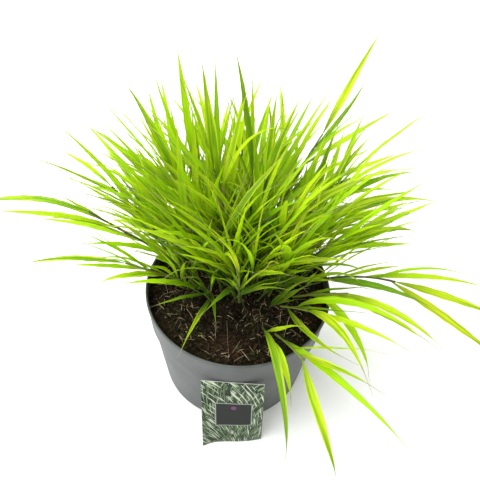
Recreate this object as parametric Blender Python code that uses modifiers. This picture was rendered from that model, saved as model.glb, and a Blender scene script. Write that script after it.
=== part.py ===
"""Japanese forest grass in a round plastic nursery pot, with its plant label leaning on the pot.

Blender units are metres, +Z is up, and the origin is the middle of the pot's underside.
The viewer of the plant stands at -Y. Angles of growth are in degrees: a heading is a compass
angle in the ground plane, 0 along +X and 90 along +Y, and a lean is the angle from upright.
"""

import math
import random

import bmesh
import bpy
import numpy as np
from mathutils import Vector

# The pot
POT_SIDES = 40
POT_HEIGHT = 0.163
RIM_RADIUS = 0.115
BASE_RADIUS = 0.0932
COLLAR_TOP_RADIUS = 0.1136
COLLAR_FOOT_RADIUS = 0.1108
COLLAR_FOOT_HEIGHT = 0.121
SHOULDER_RADIUS = 0.1082
LIP_DEPTH = 0.0045
WALL = 0.0016
FLOOR_TOP = 0.0055
RECESS = 0.0035
FOOT_RING_RADIUS = 0.083
BOSS_RADIUS = 0.028
EDGE_ROUNDING = 0.0011
DRAIN_COUNT = 6
DRAIN_RADIUS = 0.005
DRAIN_CIRCLE = 0.056

# The soil
GAP = 0.0003
SOIL_BELOW_RIM = 0.014
SOIL_CROWNING = 0.007
SOIL_RINGS = (0.82, 0.58, 0.30)
HOLE_DEPTH = 0.020
HOLE_GAP = 0.0006

# The label
LABEL_WIDTH = 0.076
LABEL_TOP = 0.1228
LABEL_THICKNESS = 0.0008
LABEL_FOOT_MIDDLE = (0.0055, -0.1262)
LABEL_TOP_MIDDLE = (0.0010, -0.1114)
LABEL_FOOT_TURN = 9.5
LABEL_WAVE = 0.0012
LABEL_COLUMNS = 6
LABEL_ROWS = 5
LABEL_SLOT = (0.0038, 0.0080)
LABEL_SLOT_HEIGHT = 0.021

# The clump of grass
SEED = 11
CROWN = (0.002, 0.040)
CROWN_RADII = (0.068, 0.054)
FILLING_SHOOTS = 37
GOLDEN_ANGLE = 137.508
LOWEST_SHARE = 0.26
FRONT_BARE = 0.22
FRONT_HOLD = 0.25
TRIES = 40
ROUTE_STEPS = 25
CLEARANCE = 0.0005
LEAST_VOLUME = 1e-14
LOWEST_LEAF = 0.012
BLADE_STATIONS = (0, 3, 9, 16, 25)
LONG_BLADE_STATIONS = (0, 3, 8, 14, 20, 25)
LONG_BLADE = 0.150
STEM_STATIONS = (0, 6, 12, 18, 25)
STEM_RADII = (0.0018, 0.0012)
BLADE_KEEL = 0.0012
BLADE_ROOT = 0.0004
SWELL_SHARE = 0.36

POT_GREY = (0.19, 0.20, 0.20, 1.0)
SOIL_BROWN = (0.055, 0.036, 0.024, 1.0)
LEAF_GREEN = (0.33, 0.56, 0.03, 1.0)
CARD_GREEN = (0.24, 0.36, 0.20, 1.0)


class Leaf:
    """One blade: where it leaves its stem, how it sets off and arches, and its size."""

    def __init__(self, share, heading, lean, end_lean, length, width,
                 sweep=0.0, arching=1.2, twist=(12.0, -8.0)):
        self.share = share
        self.heading = heading
        self.lean = lean
        self.end_lean = end_lean
        self.length = length
        self.width = width
        self.sweep = sweep
        self.arching = arching
        self.twist = twist


class Shoot:
    """One leafy stem: where it roots, how it leans and arches, and its leaves from the lowest up."""

    def __init__(self, name, root, heading, lean, end_lean, length, leaves, sweep=0.0):
        self.name = name
        self.root = root
        self.heading = heading
        self.lean = lean
        self.end_lean = end_lean
        self.length = length
        self.leaves = leaves
        self.sweep = sweep


def outer_shoots():
    """The shoots that give the clump its outline, each leaning to its own side of the pot."""
    return [
        Shoot("shoot_left_long", (-0.045, 0.038), 188, 48, 46, 0.165, [
            Leaf(0.31, 198, 46, 87, 0.125, 0.010),
            Leaf(0.54, 178, 64, 100, 0.145, 0.009),
            Leaf(0.76, 190, 60, 92, 0.150, 0.011),
            Leaf(1.00, 184, 60, 122, 0.140, 0.011),
        ]),
        Shoot("shoot_left_low", (-0.052, 0.022), 196, 56, 52, 0.090, [
            Leaf(0.45, 212, 48, 92, 0.100, 0.012),
            Leaf(0.72, 184, 76, 100, 0.100, 0.008),
            Leaf(1.00, 190, 68, 106, 0.125, 0.010),
        ]),
        Shoot("shoot_left_upper", (-0.042, 0.052), 168, 56, 40, 0.148, [
            Leaf(0.46, 176, 48, 60, 0.130, 0.012),
            Leaf(0.72, 170, 52, 97, 0.095, 0.009),
            Leaf(1.00, 160, 48, 84, 0.080, 0.009),
        ]),
        Shoot("shoot_left_high", (-0.036, 0.056), 150, 50, 40, 0.115, [
            Leaf(0.60, 160, 34, 85, 0.145, 0.009),
            Leaf(0.80, 140, 28, 64, 0.115, 0.008),
            Leaf(1.00, 152, 40, 92, 0.115, 0.012),
        ]),
        Shoot("shoot_left_top", (-0.026, 0.060), 142, 34, 34, 0.118, [
            Leaf(0.60, 162, 42, 62, 0.090, 0.010),
            Leaf(0.80, 138, 38, 52, 0.140, 0.008),
            Leaf(1.00, 136, 36, 62, 0.090, 0.010),
        ]),
        Shoot("shoot_top_left", (-0.020, 0.062), 140, 18, 28, 0.132, [
            Leaf(0.60, 158, 38, 62, 0.140, 0.009),
            Leaf(0.80, 165, 26, 34, 0.160, 0.009, sweep=-45),
            Leaf(1.00, 116, 17, 25, 0.150, 0.013),
        ]),
        Shoot("shoot_top_middle", (-0.010, 0.056), 130, 14, 22, 0.130, [
            Leaf(0.60, 136, 20, 34, 0.165, 0.008),
            Leaf(0.85, 100, 12, 24, 0.165, 0.010),
            Leaf(1.00, 115, 14, 26, 0.140, 0.011),
        ]),
        Shoot("shoot_top_right", (0.008, 0.058), 90, 8, 14, 0.125, [
            Leaf(0.60, 40, 16, 38, 0.170, 0.010),
            Leaf(0.85, 100, 16, 24, 0.150, 0.009),
            Leaf(1.00, 125, 12, 28, 0.160, 0.012),
        ]),
        Shoot("shoot_right_top", (0.020, 0.058), 56, 22, 64, 0.180, [
            Leaf(0.60, 24, 70, 76, 0.125, 0.009),
            Leaf(0.76, 28, 66, 72, 0.150, 0.011),
            Leaf(0.88, 38, 56, 24, 0.115, 0.009),
            Leaf(1.00, 46, 34, 36, 0.150, 0.013),
        ]),
        Shoot("shoot_right_upper", (0.034, 0.050), 40, 20, 60, 0.135, [
            Leaf(0.75, 16, 72, 122, 0.165, 0.010),
            Leaf(0.88, 36, 48, 44, 0.095, 0.010),
            Leaf(1.00, 22, 72, 84, 0.100, 0.010),
        ]),
        Shoot("shoot_right_middle", (0.048, 0.045), 24, 20, 70, 0.120, [
            Leaf(0.55, 14, 60, 88, 0.148, 0.012),
            Leaf(0.79, 18, 64, 126, 0.165, 0.010),
            Leaf(1.00, 12, 76, 92, 0.085, 0.010),
        ]),
        Shoot("shoot_right_wide", (0.056, 0.034), 12, 22, 68, 0.085, [
            Leaf(0.30, 356, 74, 92, 0.090, 0.011),
            Leaf(0.76, 8, 80, 98, 0.122, 0.010),
            Leaf(1.00, 14, 62, 122, 0.106, 0.011),
        ]),
        Shoot("shoot_right_low", (0.058, 0.022), 356, 42, 100, 0.130, [
            Leaf(0.40, 342, 66, 108, 0.140, 0.011),
            Leaf(0.72, 2, 80, 112, 0.170, 0.009),
            Leaf(0.96, 328, 96, 112, 0.175, 0.012),
            Leaf(1.00, 350, 94, 112, 0.160, 0.012),
        ]),
        Shoot("shoot_right_front", (0.050, 0.006), 338, 46, 60, 0.088, [
            Leaf(0.45, 345, 62, 104, 0.118, 0.009),
            Leaf(0.62, 306, 66, 160, 0.125, 0.011),
            Leaf(0.85, 330, 78, 106, 0.122, 0.009),
            Leaf(1.00, 333, 76, 126, 0.128, 0.010),
        ]),
        Shoot("shoot_front_right", (0.038, -0.006), 320, 44, 60, 0.070, [
            Leaf(0.45, 289, 73, 76, 0.117, 0.008, sweep=34),
            Leaf(0.62, 339, 23, 112, 0.170, 0.011, sweep=-6, arching=0.8),
            Leaf(0.85, 304, 38, 113, 0.135, 0.012, sweep=-11, arching=1.0),
            Leaf(1.00, 326, 62, 90, 0.118, 0.008),
        ]),
        Shoot("shoot_front_low", (0.034, -0.040), 304, 44, 84, 0.070, [
            Leaf(0.50, 314, 68, 106, 0.198, 0.010),
            Leaf(0.86, 324, 60, 86, 0.105, 0.008),
            Leaf(1.00, 280, 86, 158, 0.145, 0.011, sweep=23, arching=1.5),
        ]),
        Shoot("shoot_front_middle", (0.026, -0.034), 288, 40, 62, 0.052, [
            Leaf(0.50, 282, 44, 176, 0.190, 0.010),
            Leaf(1.00, 290, 60, 160, 0.080, 0.009),
        ]),
        Shoot("shoot_front_left", (-0.024, -0.004), 225, 20, 30, 0.020, [
            Leaf(0.60, 253, 62, 98, 0.100, 0.008),
            Leaf(0.75, 280, 56, 104, 0.055, 0.007),
            Leaf(0.85, 205, 74, 96, 0.070, 0.007),
            Leaf(1.00, 205, 42, 84, 0.130, 0.013),
        ]),
        Shoot("shoot_front_cross", (-0.004, -0.004), 20, 12, 20, 0.030, [
            Leaf(0.55, 346, 73, 101, 0.205, 0.011),
            Leaf(0.70, 262, 44, 112, 0.120, 0.010, sweep=-24),
            Leaf(0.88, 331, 12, 93, 0.163, 0.013, sweep=35, arching=0.7),
        ]),
        Shoot("shoot_front_middle_high", (-0.014, 0.012), 240, 6, 14, 0.100, [
            Leaf(0.50, 190, 26, 70, 0.110, 0.009),
            Leaf(0.75, 196, 34, 92, 0.120, 0.011),
            Leaf(1.00, 40, 30, 62, 0.130, 0.011),
        ]),
    ]


def filling_shoots():
    """The shoots that fill the clump, set out like seeds in a sunflower and leaning outwards."""
    shoots = []
    for number in range(FILLING_SHOOTS):
        draw = random.Random(f"shoot {SEED} {number}")
        reach = math.sqrt((number + 0.5) / FILLING_SHOOTS)
        turn = number * GOLDEN_ANGLE
        x = CROWN[0] + CROWN_RADII[0] * reach * math.cos(math.radians(turn))
        y = CROWN[1] + CROWN_RADII[1] * reach * math.sin(math.radians(turn))
        heading = turn + draw.uniform(-16, 16)
        to_viewer = max(0.0, -math.sin(math.radians(heading)))
        lean = (2 + 31 * reach**1.5) * (1 - 0.6 * to_viewer) + draw.uniform(-4, 4)
        end_lean = lean + draw.uniform(4, 16)
        length = draw.uniform(0.085, 0.135) * (1 - 0.30 * to_viewer * reach)
        lowest = LOWEST_SHARE + FRONT_BARE * to_viewer
        leaves = filling_leaves(draw, heading, lean, end_lean, 70 - 55 * reach, lowest)
        shoots.append(Shoot(f"shoot_{number + 1:02d}", (x, y), heading, lean, end_lean, length, leaves))
    return shoots


def filling_leaves(draw, heading, lean, end_lean, fan, lowest):
    """The leaves of a filling shoot, in two ranks that open like a fan turned about the stem.

    They start at the lowest share of the stem, and lean less to the viewer than to the sides.
    """
    leaves = []
    count = draw.choice((8, 9, 9))
    full_length = draw.uniform(0.120, 0.165)
    droop = draw.uniform(8, 30)
    fan_turn = draw.uniform(-fan, fan)
    for number in range(count):
        last = number == count - 1
        share = lowest + (1 - lowest) * (number / (count - 1)) ** 0.9
        along = heading_vector(heading, lean + (end_lean - lean) * share)
        level = across(heading)
        roll = math.radians(fan_turn + draw.uniform(-26, 26))
        side = level * math.cos(roll) + np.cross(along, level) * math.sin(roll)
        apart = math.radians((0.25 if last else 1.0) * draw.uniform(14, 30))
        course = along * math.cos(apart) + side * (math.sin(apart) if number % 2 else -math.sin(apart))
        if course[1] < 0:
            course[1] *= FRONT_HOLD
            course /= np.linalg.norm(course)
        leaf_lean = math.degrees(math.acos(course[2]))
        vigour = 0.80 + 0.20 * math.sin(math.pi * (0.15 + 0.75 * number / (count - 1)))
        length = full_length * vigour * draw.uniform(0.85, 1.12)
        leaves.append(
            Leaf(
                share, math.degrees(math.atan2(course[1], course[0])), leaf_lean,
                min(leaf_lean + droop * draw.uniform(0.4, 1.6) + 4, 150), length,
                draw.uniform(0.0078, 0.0120), draw.uniform(-14, 14), draw.uniform(0.9, 1.8),
                (draw.uniform(-38, 38), draw.uniform(-22, 22)),
            )
        )
    return leaves


def heading_vector(heading, lean):
    """Unit vector at this lean from upright, towards this heading."""
    turn, tilt = math.radians(heading), math.radians(lean)
    return np.array(
        (math.cos(turn) * math.sin(tilt), math.sin(turn) * math.sin(tilt), math.cos(tilt))
    )


def across(heading):
    """Level unit vector to the left of this heading."""
    turn = math.radians(heading)
    return np.array((-math.sin(turn), math.cos(turn), 0.0))


def grown_route(start, heading, sweep, lean, end_lean, arching, length):
    """Points of a stem or a blade from root to tip, and the level vector across it at each.

    The lean goes from its first value to its last, late in the length where arching is high,
    and the heading swings by the sweep.
    """
    points, sides = [np.array(start, float)], [across(heading)]
    for step in range(ROUTE_STEPS):
        share = (step + 0.5) / ROUTE_STEPS
        now = heading + sweep * share
        tilt = lean + (end_lean - lean) * share**arching
        points.append(points[-1] + heading_vector(now, tilt) * length / ROUTE_STEPS)
        sides.append(across(now))
    return np.array(points), np.array(sides)


def stem_route(shoot, attempt):
    """The stem's route at this attempt: the first as it is set down, later ones further off it."""
    draw = random.Random(f"stem {SEED} {shoot.name} {attempt}")
    off = 0.0 if attempt == 0 else 1.5 + 0.3 * attempt
    x, y = shoot.root
    return grown_route(
        (x, y, soil_height(x, y) - HOLE_DEPTH), shoot.heading + draw.uniform(-off, off), shoot.sweep,
        shoot.lean + draw.uniform(-off, off), shoot.end_lean + draw.uniform(-off, off), 1.0,
        shoot.length + HOLE_DEPTH,
    )


def leaf_route(shoot, stem, number, attempt):
    """A leaf's route at this attempt, which wanders and shortens as the attempts go on."""
    draw = random.Random(f"leaf {SEED} {shoot.name} {number} {attempt}")
    leaf = shoot.leaves[number]
    off = 0.0 if attempt == 0 else 2.0 + 0.4 * attempt
    middles = stem[0][list(STEM_STATIONS)]
    root = [np.interp(leaf.share * ROUTE_STEPS, STEM_STATIONS, middles[:, axis]) for axis in range(3)]
    return grown_route(
        root, leaf.heading + draw.uniform(-off, off), leaf.sweep, leaf.lean + draw.uniform(-off, off),
        leaf.end_lean + draw.uniform(-off, off), leaf.arching, leaf.length * (1 - 0.01 * attempt),
    )


def blade_shape(share):
    """Width of a blade as a share of its widest, from a narrow root to a long drawn-out tip."""
    swell = math.sin(0.5 * math.pi * min(share / SWELL_SHARE, 1.0)) ** 0.8
    taper = 1.0 - (max(share - SWELL_SHARE, 0.0) / (1 - SWELL_SHARE)) ** 1.55
    return max(swell * taper, 0.0)


def soil_height(x, y):
    """Height of the bare soil, crowned in the middle and a little uneven."""
    reach = min(math.hypot(x, y) / RIM_RADIUS, 1.0)
    lumps = 0.0012 * math.sin(61 * x + 1.3) * math.cos(53 * y - 0.4) + 0.0008 * math.sin(97 * y + 40 * x)
    return POT_HEIGHT - SOIL_BELOW_RIM + SOIL_CROWNING * (1 - reach**2) + lumps * (1 - reach**4)


def turned_sides(points, sides, twist):
    """Vectors across and square to the blade at each point, turned by the twist along it."""
    along = np.gradient(points, axis=0)
    along /= np.linalg.norm(along, axis=1)[:, None]
    wide, square = [], []
    for number, (tangent, side) in enumerate(zip(along, sides)):
        side = side - tangent * (side @ tangent)
        side /= np.linalg.norm(side)
        normal = np.cross(tangent, side)
        turn = math.radians(twist[0] + (twist[1] - twist[0]) * number / (len(points) - 1))
        wide.append(side * math.cos(turn) + normal * math.sin(turn))
        square.append(normal * math.cos(turn) - side * math.sin(turn))
    return np.array(wide), np.array(square)


def blade_rings(leaf, route, grown=0.0):
    """Sections of a blade, two edges and a keel, and its tip as one point.

    Where the blade is grown by a clearance, a ridge above the middle makes a fourth corner.
    """
    points, sides = route
    wide, square = turned_sides(points, sides, leaf.twist)
    stations = LONG_BLADE_STATIONS if leaf.length > LONG_BLADE else BLADE_STATIONS
    rings = []
    for station in stations[:-1]:
        half = 0.5 * leaf.width * blade_shape(station / ROUTE_STEPS) + grown
        keel = BLADE_KEEL + grown
        if station == 0:
            half = keel = BLADE_ROOT + grown
        ring = [
            points[station] + wide[station] * half,
            points[station] - wide[station] * half,
            points[station] - square[station] * keel,
        ]
        if grown > 0:
            ring.insert(1, points[station] + square[station] * grown)
        rings.append(ring)
    course = points[-1] - points[-2]
    rings.append((points[-1] + course * grown / np.linalg.norm(course),))
    return rings


def stem_rings(route, grown=0.0):
    """Three-cornered sections of a stem that narrows upwards."""
    points, sides = route
    wide, square = turned_sides(points, sides, (0, 0))
    rings = []
    for station in STEM_STATIONS:
        radius = np.interp(station / ROUTE_STEPS, (0, 1), STEM_RADII) + grown
        ring = []
        for corner in range(3):
            turn = 2 * math.pi * (corner + 0.25) / 3
            ring.append(
                points[station] + radius * (wide[station] * math.cos(turn) + square[station] * math.sin(turn))
            )
        rings.append(ring)
    return rings


def bulging_split(quad, corners):
    """The two triangles of a quad whose shared edge stands outwards, so a twisted side can't cave in."""
    a, b, c, d = quad
    pa, pb, pc, pd = (corners[i] for i in quad)
    if np.cross(pb - pa, pc - pa) @ (pd - pa) > 0:
        return [(a, b, d), (b, c, d)]
    return [(a, b, c), (a, c, d)]


def lofted(rings):
    """Corners and triangles of a closed skin over rings of corners, which may end in a point."""
    corners = [corner for ring in rings for corner in ring]
    count = len(rings[0])
    faces = [(0, corner + 1, corner) for corner in range(1, count - 1)]
    for number, ring in enumerate(rings[1:]):
        low, high = count * number, count * number + count
        for i in range(count):
            j = (i + 1) % count
            if len(ring) == 1:
                faces.append((low + i, low + j, high))
            else:
                faces += bulging_split((low + i, low + j, high + j, high + i), corners)
    if len(rings[-1]) > 1:
        last = len(corners) - count
        faces += [(last, last + corner, last + corner + 1) for corner in range(1, count - 1)]
    return np.array(corners), faces


def pierced(triangles, others):
    """True if an edge of one of the other triangles passes through one of these."""
    starts = others.reshape(-1, 3)
    courses = np.roll(others, -1, axis=1).reshape(-1, 3) - starts
    corner, one, two = triangles[:, 0], triangles[:, 1] - triangles[:, 0], triangles[:, 2] - triangles[:, 0]
    across_two = np.cross(courses[:, None], two[None])
    scale = (across_two * one).sum(-1)
    scale[abs(scale) < LEAST_VOLUME] = np.nan
    offset = starts[:, None] - corner
    across_one = np.cross(offset, one[None])
    u = (offset * across_two).sum(-1) / scale
    v = (courses[:, None] * across_one).sum(-1) / scale
    along = (two * across_one).sum(-1) / scale
    return bool(((u >= 0) & (v >= 0) & (u + v <= 1) & (along >= 0) & (along <= 1)).any())


class Neighbours:
    """The triangles of what has grown so far, to keep each new stem and blade clear of them."""

    def __init__(self):
        self.triangles = np.empty((0, 3, 3))
        self.owners = np.empty(0, object)

    def add(self, skin, owner):
        corners, faces = skin
        self.triangles = np.concatenate((self.triangles, corners[np.array(faces)]))
        self.owners = np.concatenate((self.owners, np.full(len(faces), owner, object)))

    def add_object(self, obj):
        bm = evaluated_bmesh(obj)
        bmesh.ops.triangulate(bm, faces=bm.faces)
        corners = np.array([vertex.co for vertex in bm.verts])
        self.add((corners, [[vertex.index for vertex in face.verts] for face in bm.faces]), obj.name)
        bm.free()

    def meets(self, skin, left_out):
        """True if the skin cuts anything that has grown, apart from what has this owner."""
        corners, faces = skin
        own = corners[np.array(faces)]
        near = self.triangles[
            (self.triangles.min(1) <= corners.max(0)).all(1)
            & (self.triangles.max(1) >= corners.min(0)).all(1)
            & (self.owners != left_out)
        ]
        return len(near) > 0 and (pierced(near, own) or pierced(own, near))


def grow_stem(shoot, neighbours):
    """The first attempt at the stem that stands clear of its neighbours."""
    for attempt in range(TRIES):
        route = stem_route(shoot, attempt)
        if not neighbours.meets(lofted(stem_rings(route, CLEARANCE)), "soil"):
            return route
    return None


def grow_leaf(shoot, stem, number, neighbours):
    """The first attempt at the leaf that stands clear of its neighbours, or None."""
    for attempt in range(TRIES):
        route = leaf_route(shoot, stem, number, attempt)
        test = lofted(blade_rings(shoot.leaves[number], route, CLEARANCE))
        if test[0][:, 2].min() > LOWEST_LEAF and not neighbours.meets(test, shoot.name):
            return route
    return None


def grow_clump(neighbours):
    """Every shoot that finds room: (shoot, route of its stem, its leaves with their routes)."""
    clump = []
    for shoot in outer_shoots() + filling_shoots():
        stem = grow_stem(shoot, neighbours)
        if stem is not None:
            neighbours.add(lofted(stem_rings(stem)), shoot.name)
            clump.append((shoot, stem, []))
    for shoot, stem, grown in clump:
        for number, leaf in enumerate(shoot.leaves):
            route = grow_leaf(shoot, stem, number, neighbours)
            if route is not None:
                grown.append((leaf, route))
                neighbours.add(lofted(blade_rings(leaf, route)), f"{shoot.name} blade")
    return clump


def clear_scene():
    """Remove every object of the scene."""
    for obj in list(bpy.data.objects):
        bpy.data.objects.remove(obj, do_unlink=True)


def new_collection(name):
    """A new collection in the scene."""
    collection = bpy.data.collections.new(name)
    bpy.context.scene.collection.children.link(collection)
    return collection


def new_object(name, mesh, collection):
    """A new object with this mesh, in this collection."""
    obj = bpy.data.objects.new(name, mesh)
    collection.objects.link(obj)
    return obj


def finish(obj, colour, roughness):
    """Give the object its own material."""
    material = bpy.data.materials.new(f"{obj.name}_finish")
    material.use_nodes = True
    shader = material.node_tree.nodes["Principled BSDF"]
    shader.inputs["Base Color"].default_value = colour
    shader.inputs["Roughness"].default_value = roughness
    obj.data.materials.clear()
    obj.data.materials.append(material)


def evaluated_bmesh(obj):
    """The object's mesh with its modifiers, as a bmesh."""
    bm = bmesh.new()
    bm.from_object(obj, bpy.context.evaluated_depsgraph_get())
    bm.verts.index_update()
    return bm


def apply_modifiers(obj):
    """Turn the object's modifiers into its mesh."""
    bm = evaluated_bmesh(obj)
    obj.modifiers.clear()
    bm.to_mesh(obj.data)
    bm.free()


def skin_object(name, skin, collection):
    """An object with the corners and triangles of a skin."""
    corners, faces = skin
    mesh = bpy.data.meshes.new(name)
    mesh.from_pydata(corners.tolist(), [], faces)
    return new_object(name, mesh, collection)


def turned_object(name, profile, collection):
    """A solid turned about Z from (radius, height) points that run down its outer side."""
    mesh = bpy.data.meshes.new(name)
    mesh.from_pydata(
        [(radius, 0, height) for radius, height in profile], [(i, i + 1) for i in range(len(profile) - 1)], []
    )
    obj = new_object(name, mesh, collection)
    screw = obj.modifiers.new("turn", "SCREW")
    screw.steps = screw.render_steps = POT_SIDES
    screw.use_merge_vertices = True
    screw.merge_threshold = 0.00005
    apply_modifiers(obj)
    return obj


def cylinder(name, radius, depth, sides, collection):
    """An upright cylinder about the origin."""
    bm = bmesh.new()
    bmesh.ops.create_cone(
        bm, cap_ends=True, segments=sides, radius1=radius, radius2=radius, depth=depth
    )
    mesh = bpy.data.meshes.new(name)
    bm.to_mesh(mesh)
    bm.free()
    return new_object(name, mesh, collection)


def hide_cutter(obj):
    """Mark an object as one that only cuts."""
    obj.hide_render = True
    obj.display_type = "WIRE"


def join_or_cut(obj, operation, collection):
    """Join the collection's objects to this one or cut them out of it, and remove them."""
    boolean = obj.modifiers.new("shape", "BOOLEAN")
    boolean.operation = operation
    boolean.operand_type = "COLLECTION"
    boolean.collection = collection
    boolean.solver = "EXACT"
    apply_modifiers(obj)
    for used in list(collection.objects):
        bpy.data.objects.remove(used, do_unlink=True)


def pot_outside():
    """The pot's outer profile from the rim down to its foot, as (radius, height)."""
    return [
        (RIM_RADIUS - EDGE_ROUNDING, POT_HEIGHT),
        (RIM_RADIUS, POT_HEIGHT - EDGE_ROUNDING),
        (RIM_RADIUS, POT_HEIGHT - LIP_DEPTH),
        (COLLAR_TOP_RADIUS, POT_HEIGHT - LIP_DEPTH - 0.0005),
        (COLLAR_FOOT_RADIUS, COLLAR_FOOT_HEIGHT),
        (SHOULDER_RADIUS, COLLAR_FOOT_HEIGHT - 0.0015),
        (BASE_RADIUS, EDGE_ROUNDING),
        (BASE_RADIUS - EDGE_ROUNDING, 0),
    ]


def pot_inside():
    """The pot's inner profile from its floor up to the rim, as (radius, height)."""
    slope = (SHOULDER_RADIUS - BASE_RADIUS) / COLLAR_FOOT_HEIGHT
    return [
        (BASE_RADIUS - WALL + slope * FLOOR_TOP, FLOOR_TOP),
        (SHOULDER_RADIUS - WALL, COLLAR_FOOT_HEIGHT),
        (COLLAR_FOOT_RADIUS - WALL, COLLAR_FOOT_HEIGHT + 0.003),
        (COLLAR_TOP_RADIUS - WALL, POT_HEIGHT - LIP_DEPTH),
        (RIM_RADIUS - EDGE_ROUNDING - WALL, POT_HEIGHT),
    ]


def inner_radius(height):
    """The pot's inner radius at this height."""
    radii, heights = zip(*pot_inside())
    return float(np.interp(height, heights, radii))


def model_pot(collection, cutters):
    """The pot: a thin tapered wall with a collar, a recessed floor with drain holes, and a middle boss."""
    underside = [
        (FOOT_RING_RADIUS, 0), (FOOT_RING_RADIUS - RECESS / 2, RECESS),
        (BOSS_RADIUS + RECESS / 2, RECESS), (BOSS_RADIUS, 0), (0, 0),
    ]
    profile = [(0, FLOOR_TOP)] + pot_inside() + pot_outside() + underside
    pot = turned_object("pot", profile, collection)
    for number in range(DRAIN_COUNT):
        turn = 2 * math.pi * (number + 0.5) / DRAIN_COUNT
        drain = cylinder("drain", DRAIN_RADIUS, 0.01, 10, cutters)
        drain.location = (DRAIN_CIRCLE * math.cos(turn), DRAIN_CIRCLE * math.sin(turn), FLOOR_TOP)
    bpy.context.view_layer.update()
    join_or_cut(pot, "DIFFERENCE", cutters)
    finish(pot, POT_GREY, 0.5)
    return pot


def model_soil(collection):
    """The soil: a plug a hair narrower than the pot's inside, with an uneven top."""
    edge = POT_HEIGHT - SOIL_BELOW_RIM
    sides = [(inner_radius(height) - GAP, height) for height in (edge, COLLAR_FOOT_HEIGHT + 0.003)]
    sides += [(inner_radius(height) - GAP, height) for height in (COLLAR_FOOT_HEIGHT, FLOOR_TOP + GAP)]
    top = [(0, edge)] + [(sides[0][0] * share, edge) for share in reversed(SOIL_RINGS)]
    soil = turned_object("soil", top + sides + [(0, FLOOR_TOP + GAP)], collection)
    for vertex in soil.data.vertices:
        if vertex.co.z > edge - 0.001 and vertex.co.xy.length < sides[0][0] - 0.001:
            vertex.co.z = soil_height(vertex.co.x, vertex.co.y)
    finish(soil, SOIL_BROWN, 0.95)
    return soil


def dig_holes(soil, clump, cutters):
    """Cut a plain hole in the soil for each stem, which follows it with a small gap all round."""
    for _, stem, _ in clump:
        rings = stem_rings(stem, HOLE_GAP)
        course = stem[0][1] - stem[0][0]
        rings[0] = [corner - course * HOLE_GAP / np.linalg.norm(course) for corner in rings[0]]
        hide_cutter(skin_object("hole", lofted(rings), cutters))
    boolean = soil.modifiers.new("holes", "BOOLEAN")
    boolean.operand_type = "COLLECTION"
    boolean.collection = cutters


def label_point(across_share, height):
    """A point of the label's front face: its foot is turned and its middle waves a little."""
    rise = height / LABEL_TOP
    turn = math.radians(LABEL_FOOT_TURN * (1 - rise))
    x = np.interp(rise, (0, 1), (LABEL_FOOT_MIDDLE[0], LABEL_TOP_MIDDLE[0]))
    y = np.interp(rise, (0, 1), (LABEL_FOOT_MIDDLE[1], LABEL_TOP_MIDDLE[1]))
    wave = LABEL_WAVE * math.sin(2 * math.pi * across_share) * (1 - rise)
    offset = across_share * LABEL_WIDTH
    return Vector((x + offset * math.cos(turn), y + offset * math.sin(turn) - wave, height))


def model_label(collection, cutters):
    """The label: a thin bent card with a slot near its foot, leaning on the pot's collar."""
    bm = bmesh.new()
    bmesh.ops.create_grid(bm, x_segments=LABEL_COLUMNS, y_segments=LABEL_ROWS, size=0.5)
    for vertex in bm.verts:
        vertex.co = label_point(vertex.co.x, (vertex.co.y + 0.5) * LABEL_TOP)
    bmesh.ops.recalc_face_normals(bm, faces=bm.faces)
    if sum(face.normal.y for face in bm.faces) > 0:
        bmesh.ops.reverse_faces(bm, faces=bm.faces)
    mesh = bpy.data.meshes.new("plant_label")
    bm.to_mesh(mesh)
    bm.free()
    label = new_object("plant_label", mesh, collection)
    solidify = label.modifiers.new("card", "SOLIDIFY")
    solidify.thickness = LABEL_THICKNESS
    solidify.offset = 1
    apply_modifiers(label)
    slot = cylinder("slot", 0.5, 0.02, 12, cutters)
    slot.rotation_euler = (math.pi / 2, 0, 0)
    slot.scale = (LABEL_SLOT[0], LABEL_SLOT[1], 1)
    slot.location = label_point(0.0, LABEL_SLOT_HEIGHT)
    bpy.context.view_layer.update()
    join_or_cut(label, "DIFFERENCE", cutters)
    finish(label, CARD_GREEN, 0.4)
    return label


def model_shoot(shoot, stem, leaves, collection, joined):
    """One leafy stem: its blades, rooted on the stem's own middle line, are joined to it."""
    obj = skin_object(shoot.name, lofted(stem_rings(stem)), collection)
    for leaf, route in leaves:
        skin_object("blade", lofted(blade_rings(leaf, route)), joined)
    join_or_cut(obj, "UNION", joined)
    finish(obj, LEAF_GREEN, 0.45)
    return obj


def main():
    clear_scene()
    plant = new_collection("japanese_forest_grass")
    cutters = new_collection("cutters")
    joined = new_collection("joined")
    pot = model_pot(plant, cutters)
    soil = model_soil(plant)
    label = model_label(plant, cutters)
    neighbours = Neighbours()
    for obj in (pot, soil, label):
        neighbours.add_object(obj)
    clump = grow_clump(neighbours)
    for shoot, stem, leaves in clump:
        model_shoot(shoot, stem, leaves, plant, joined)
    dig_holes(soil, clump, cutters)


if __name__ == "__main__":
    main()
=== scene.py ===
"""Dresses the potted japanese forest grass: its pot, soil, litter, leafy stems, label and stage.

Blender units are metres, +Z is up, and the viewer of the plant stands at -Y. Angles of growth
are in degrees, as in the part's source, whose rule of growth is repeated here.
"""

import math
import random
from dataclasses import dataclass

import bpy
import numpy as np
from bpy.props import FloatProperty, FloatVectorProperty, IntProperty, PointerProperty
from mathutils import Matrix, Vector, noise


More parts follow.
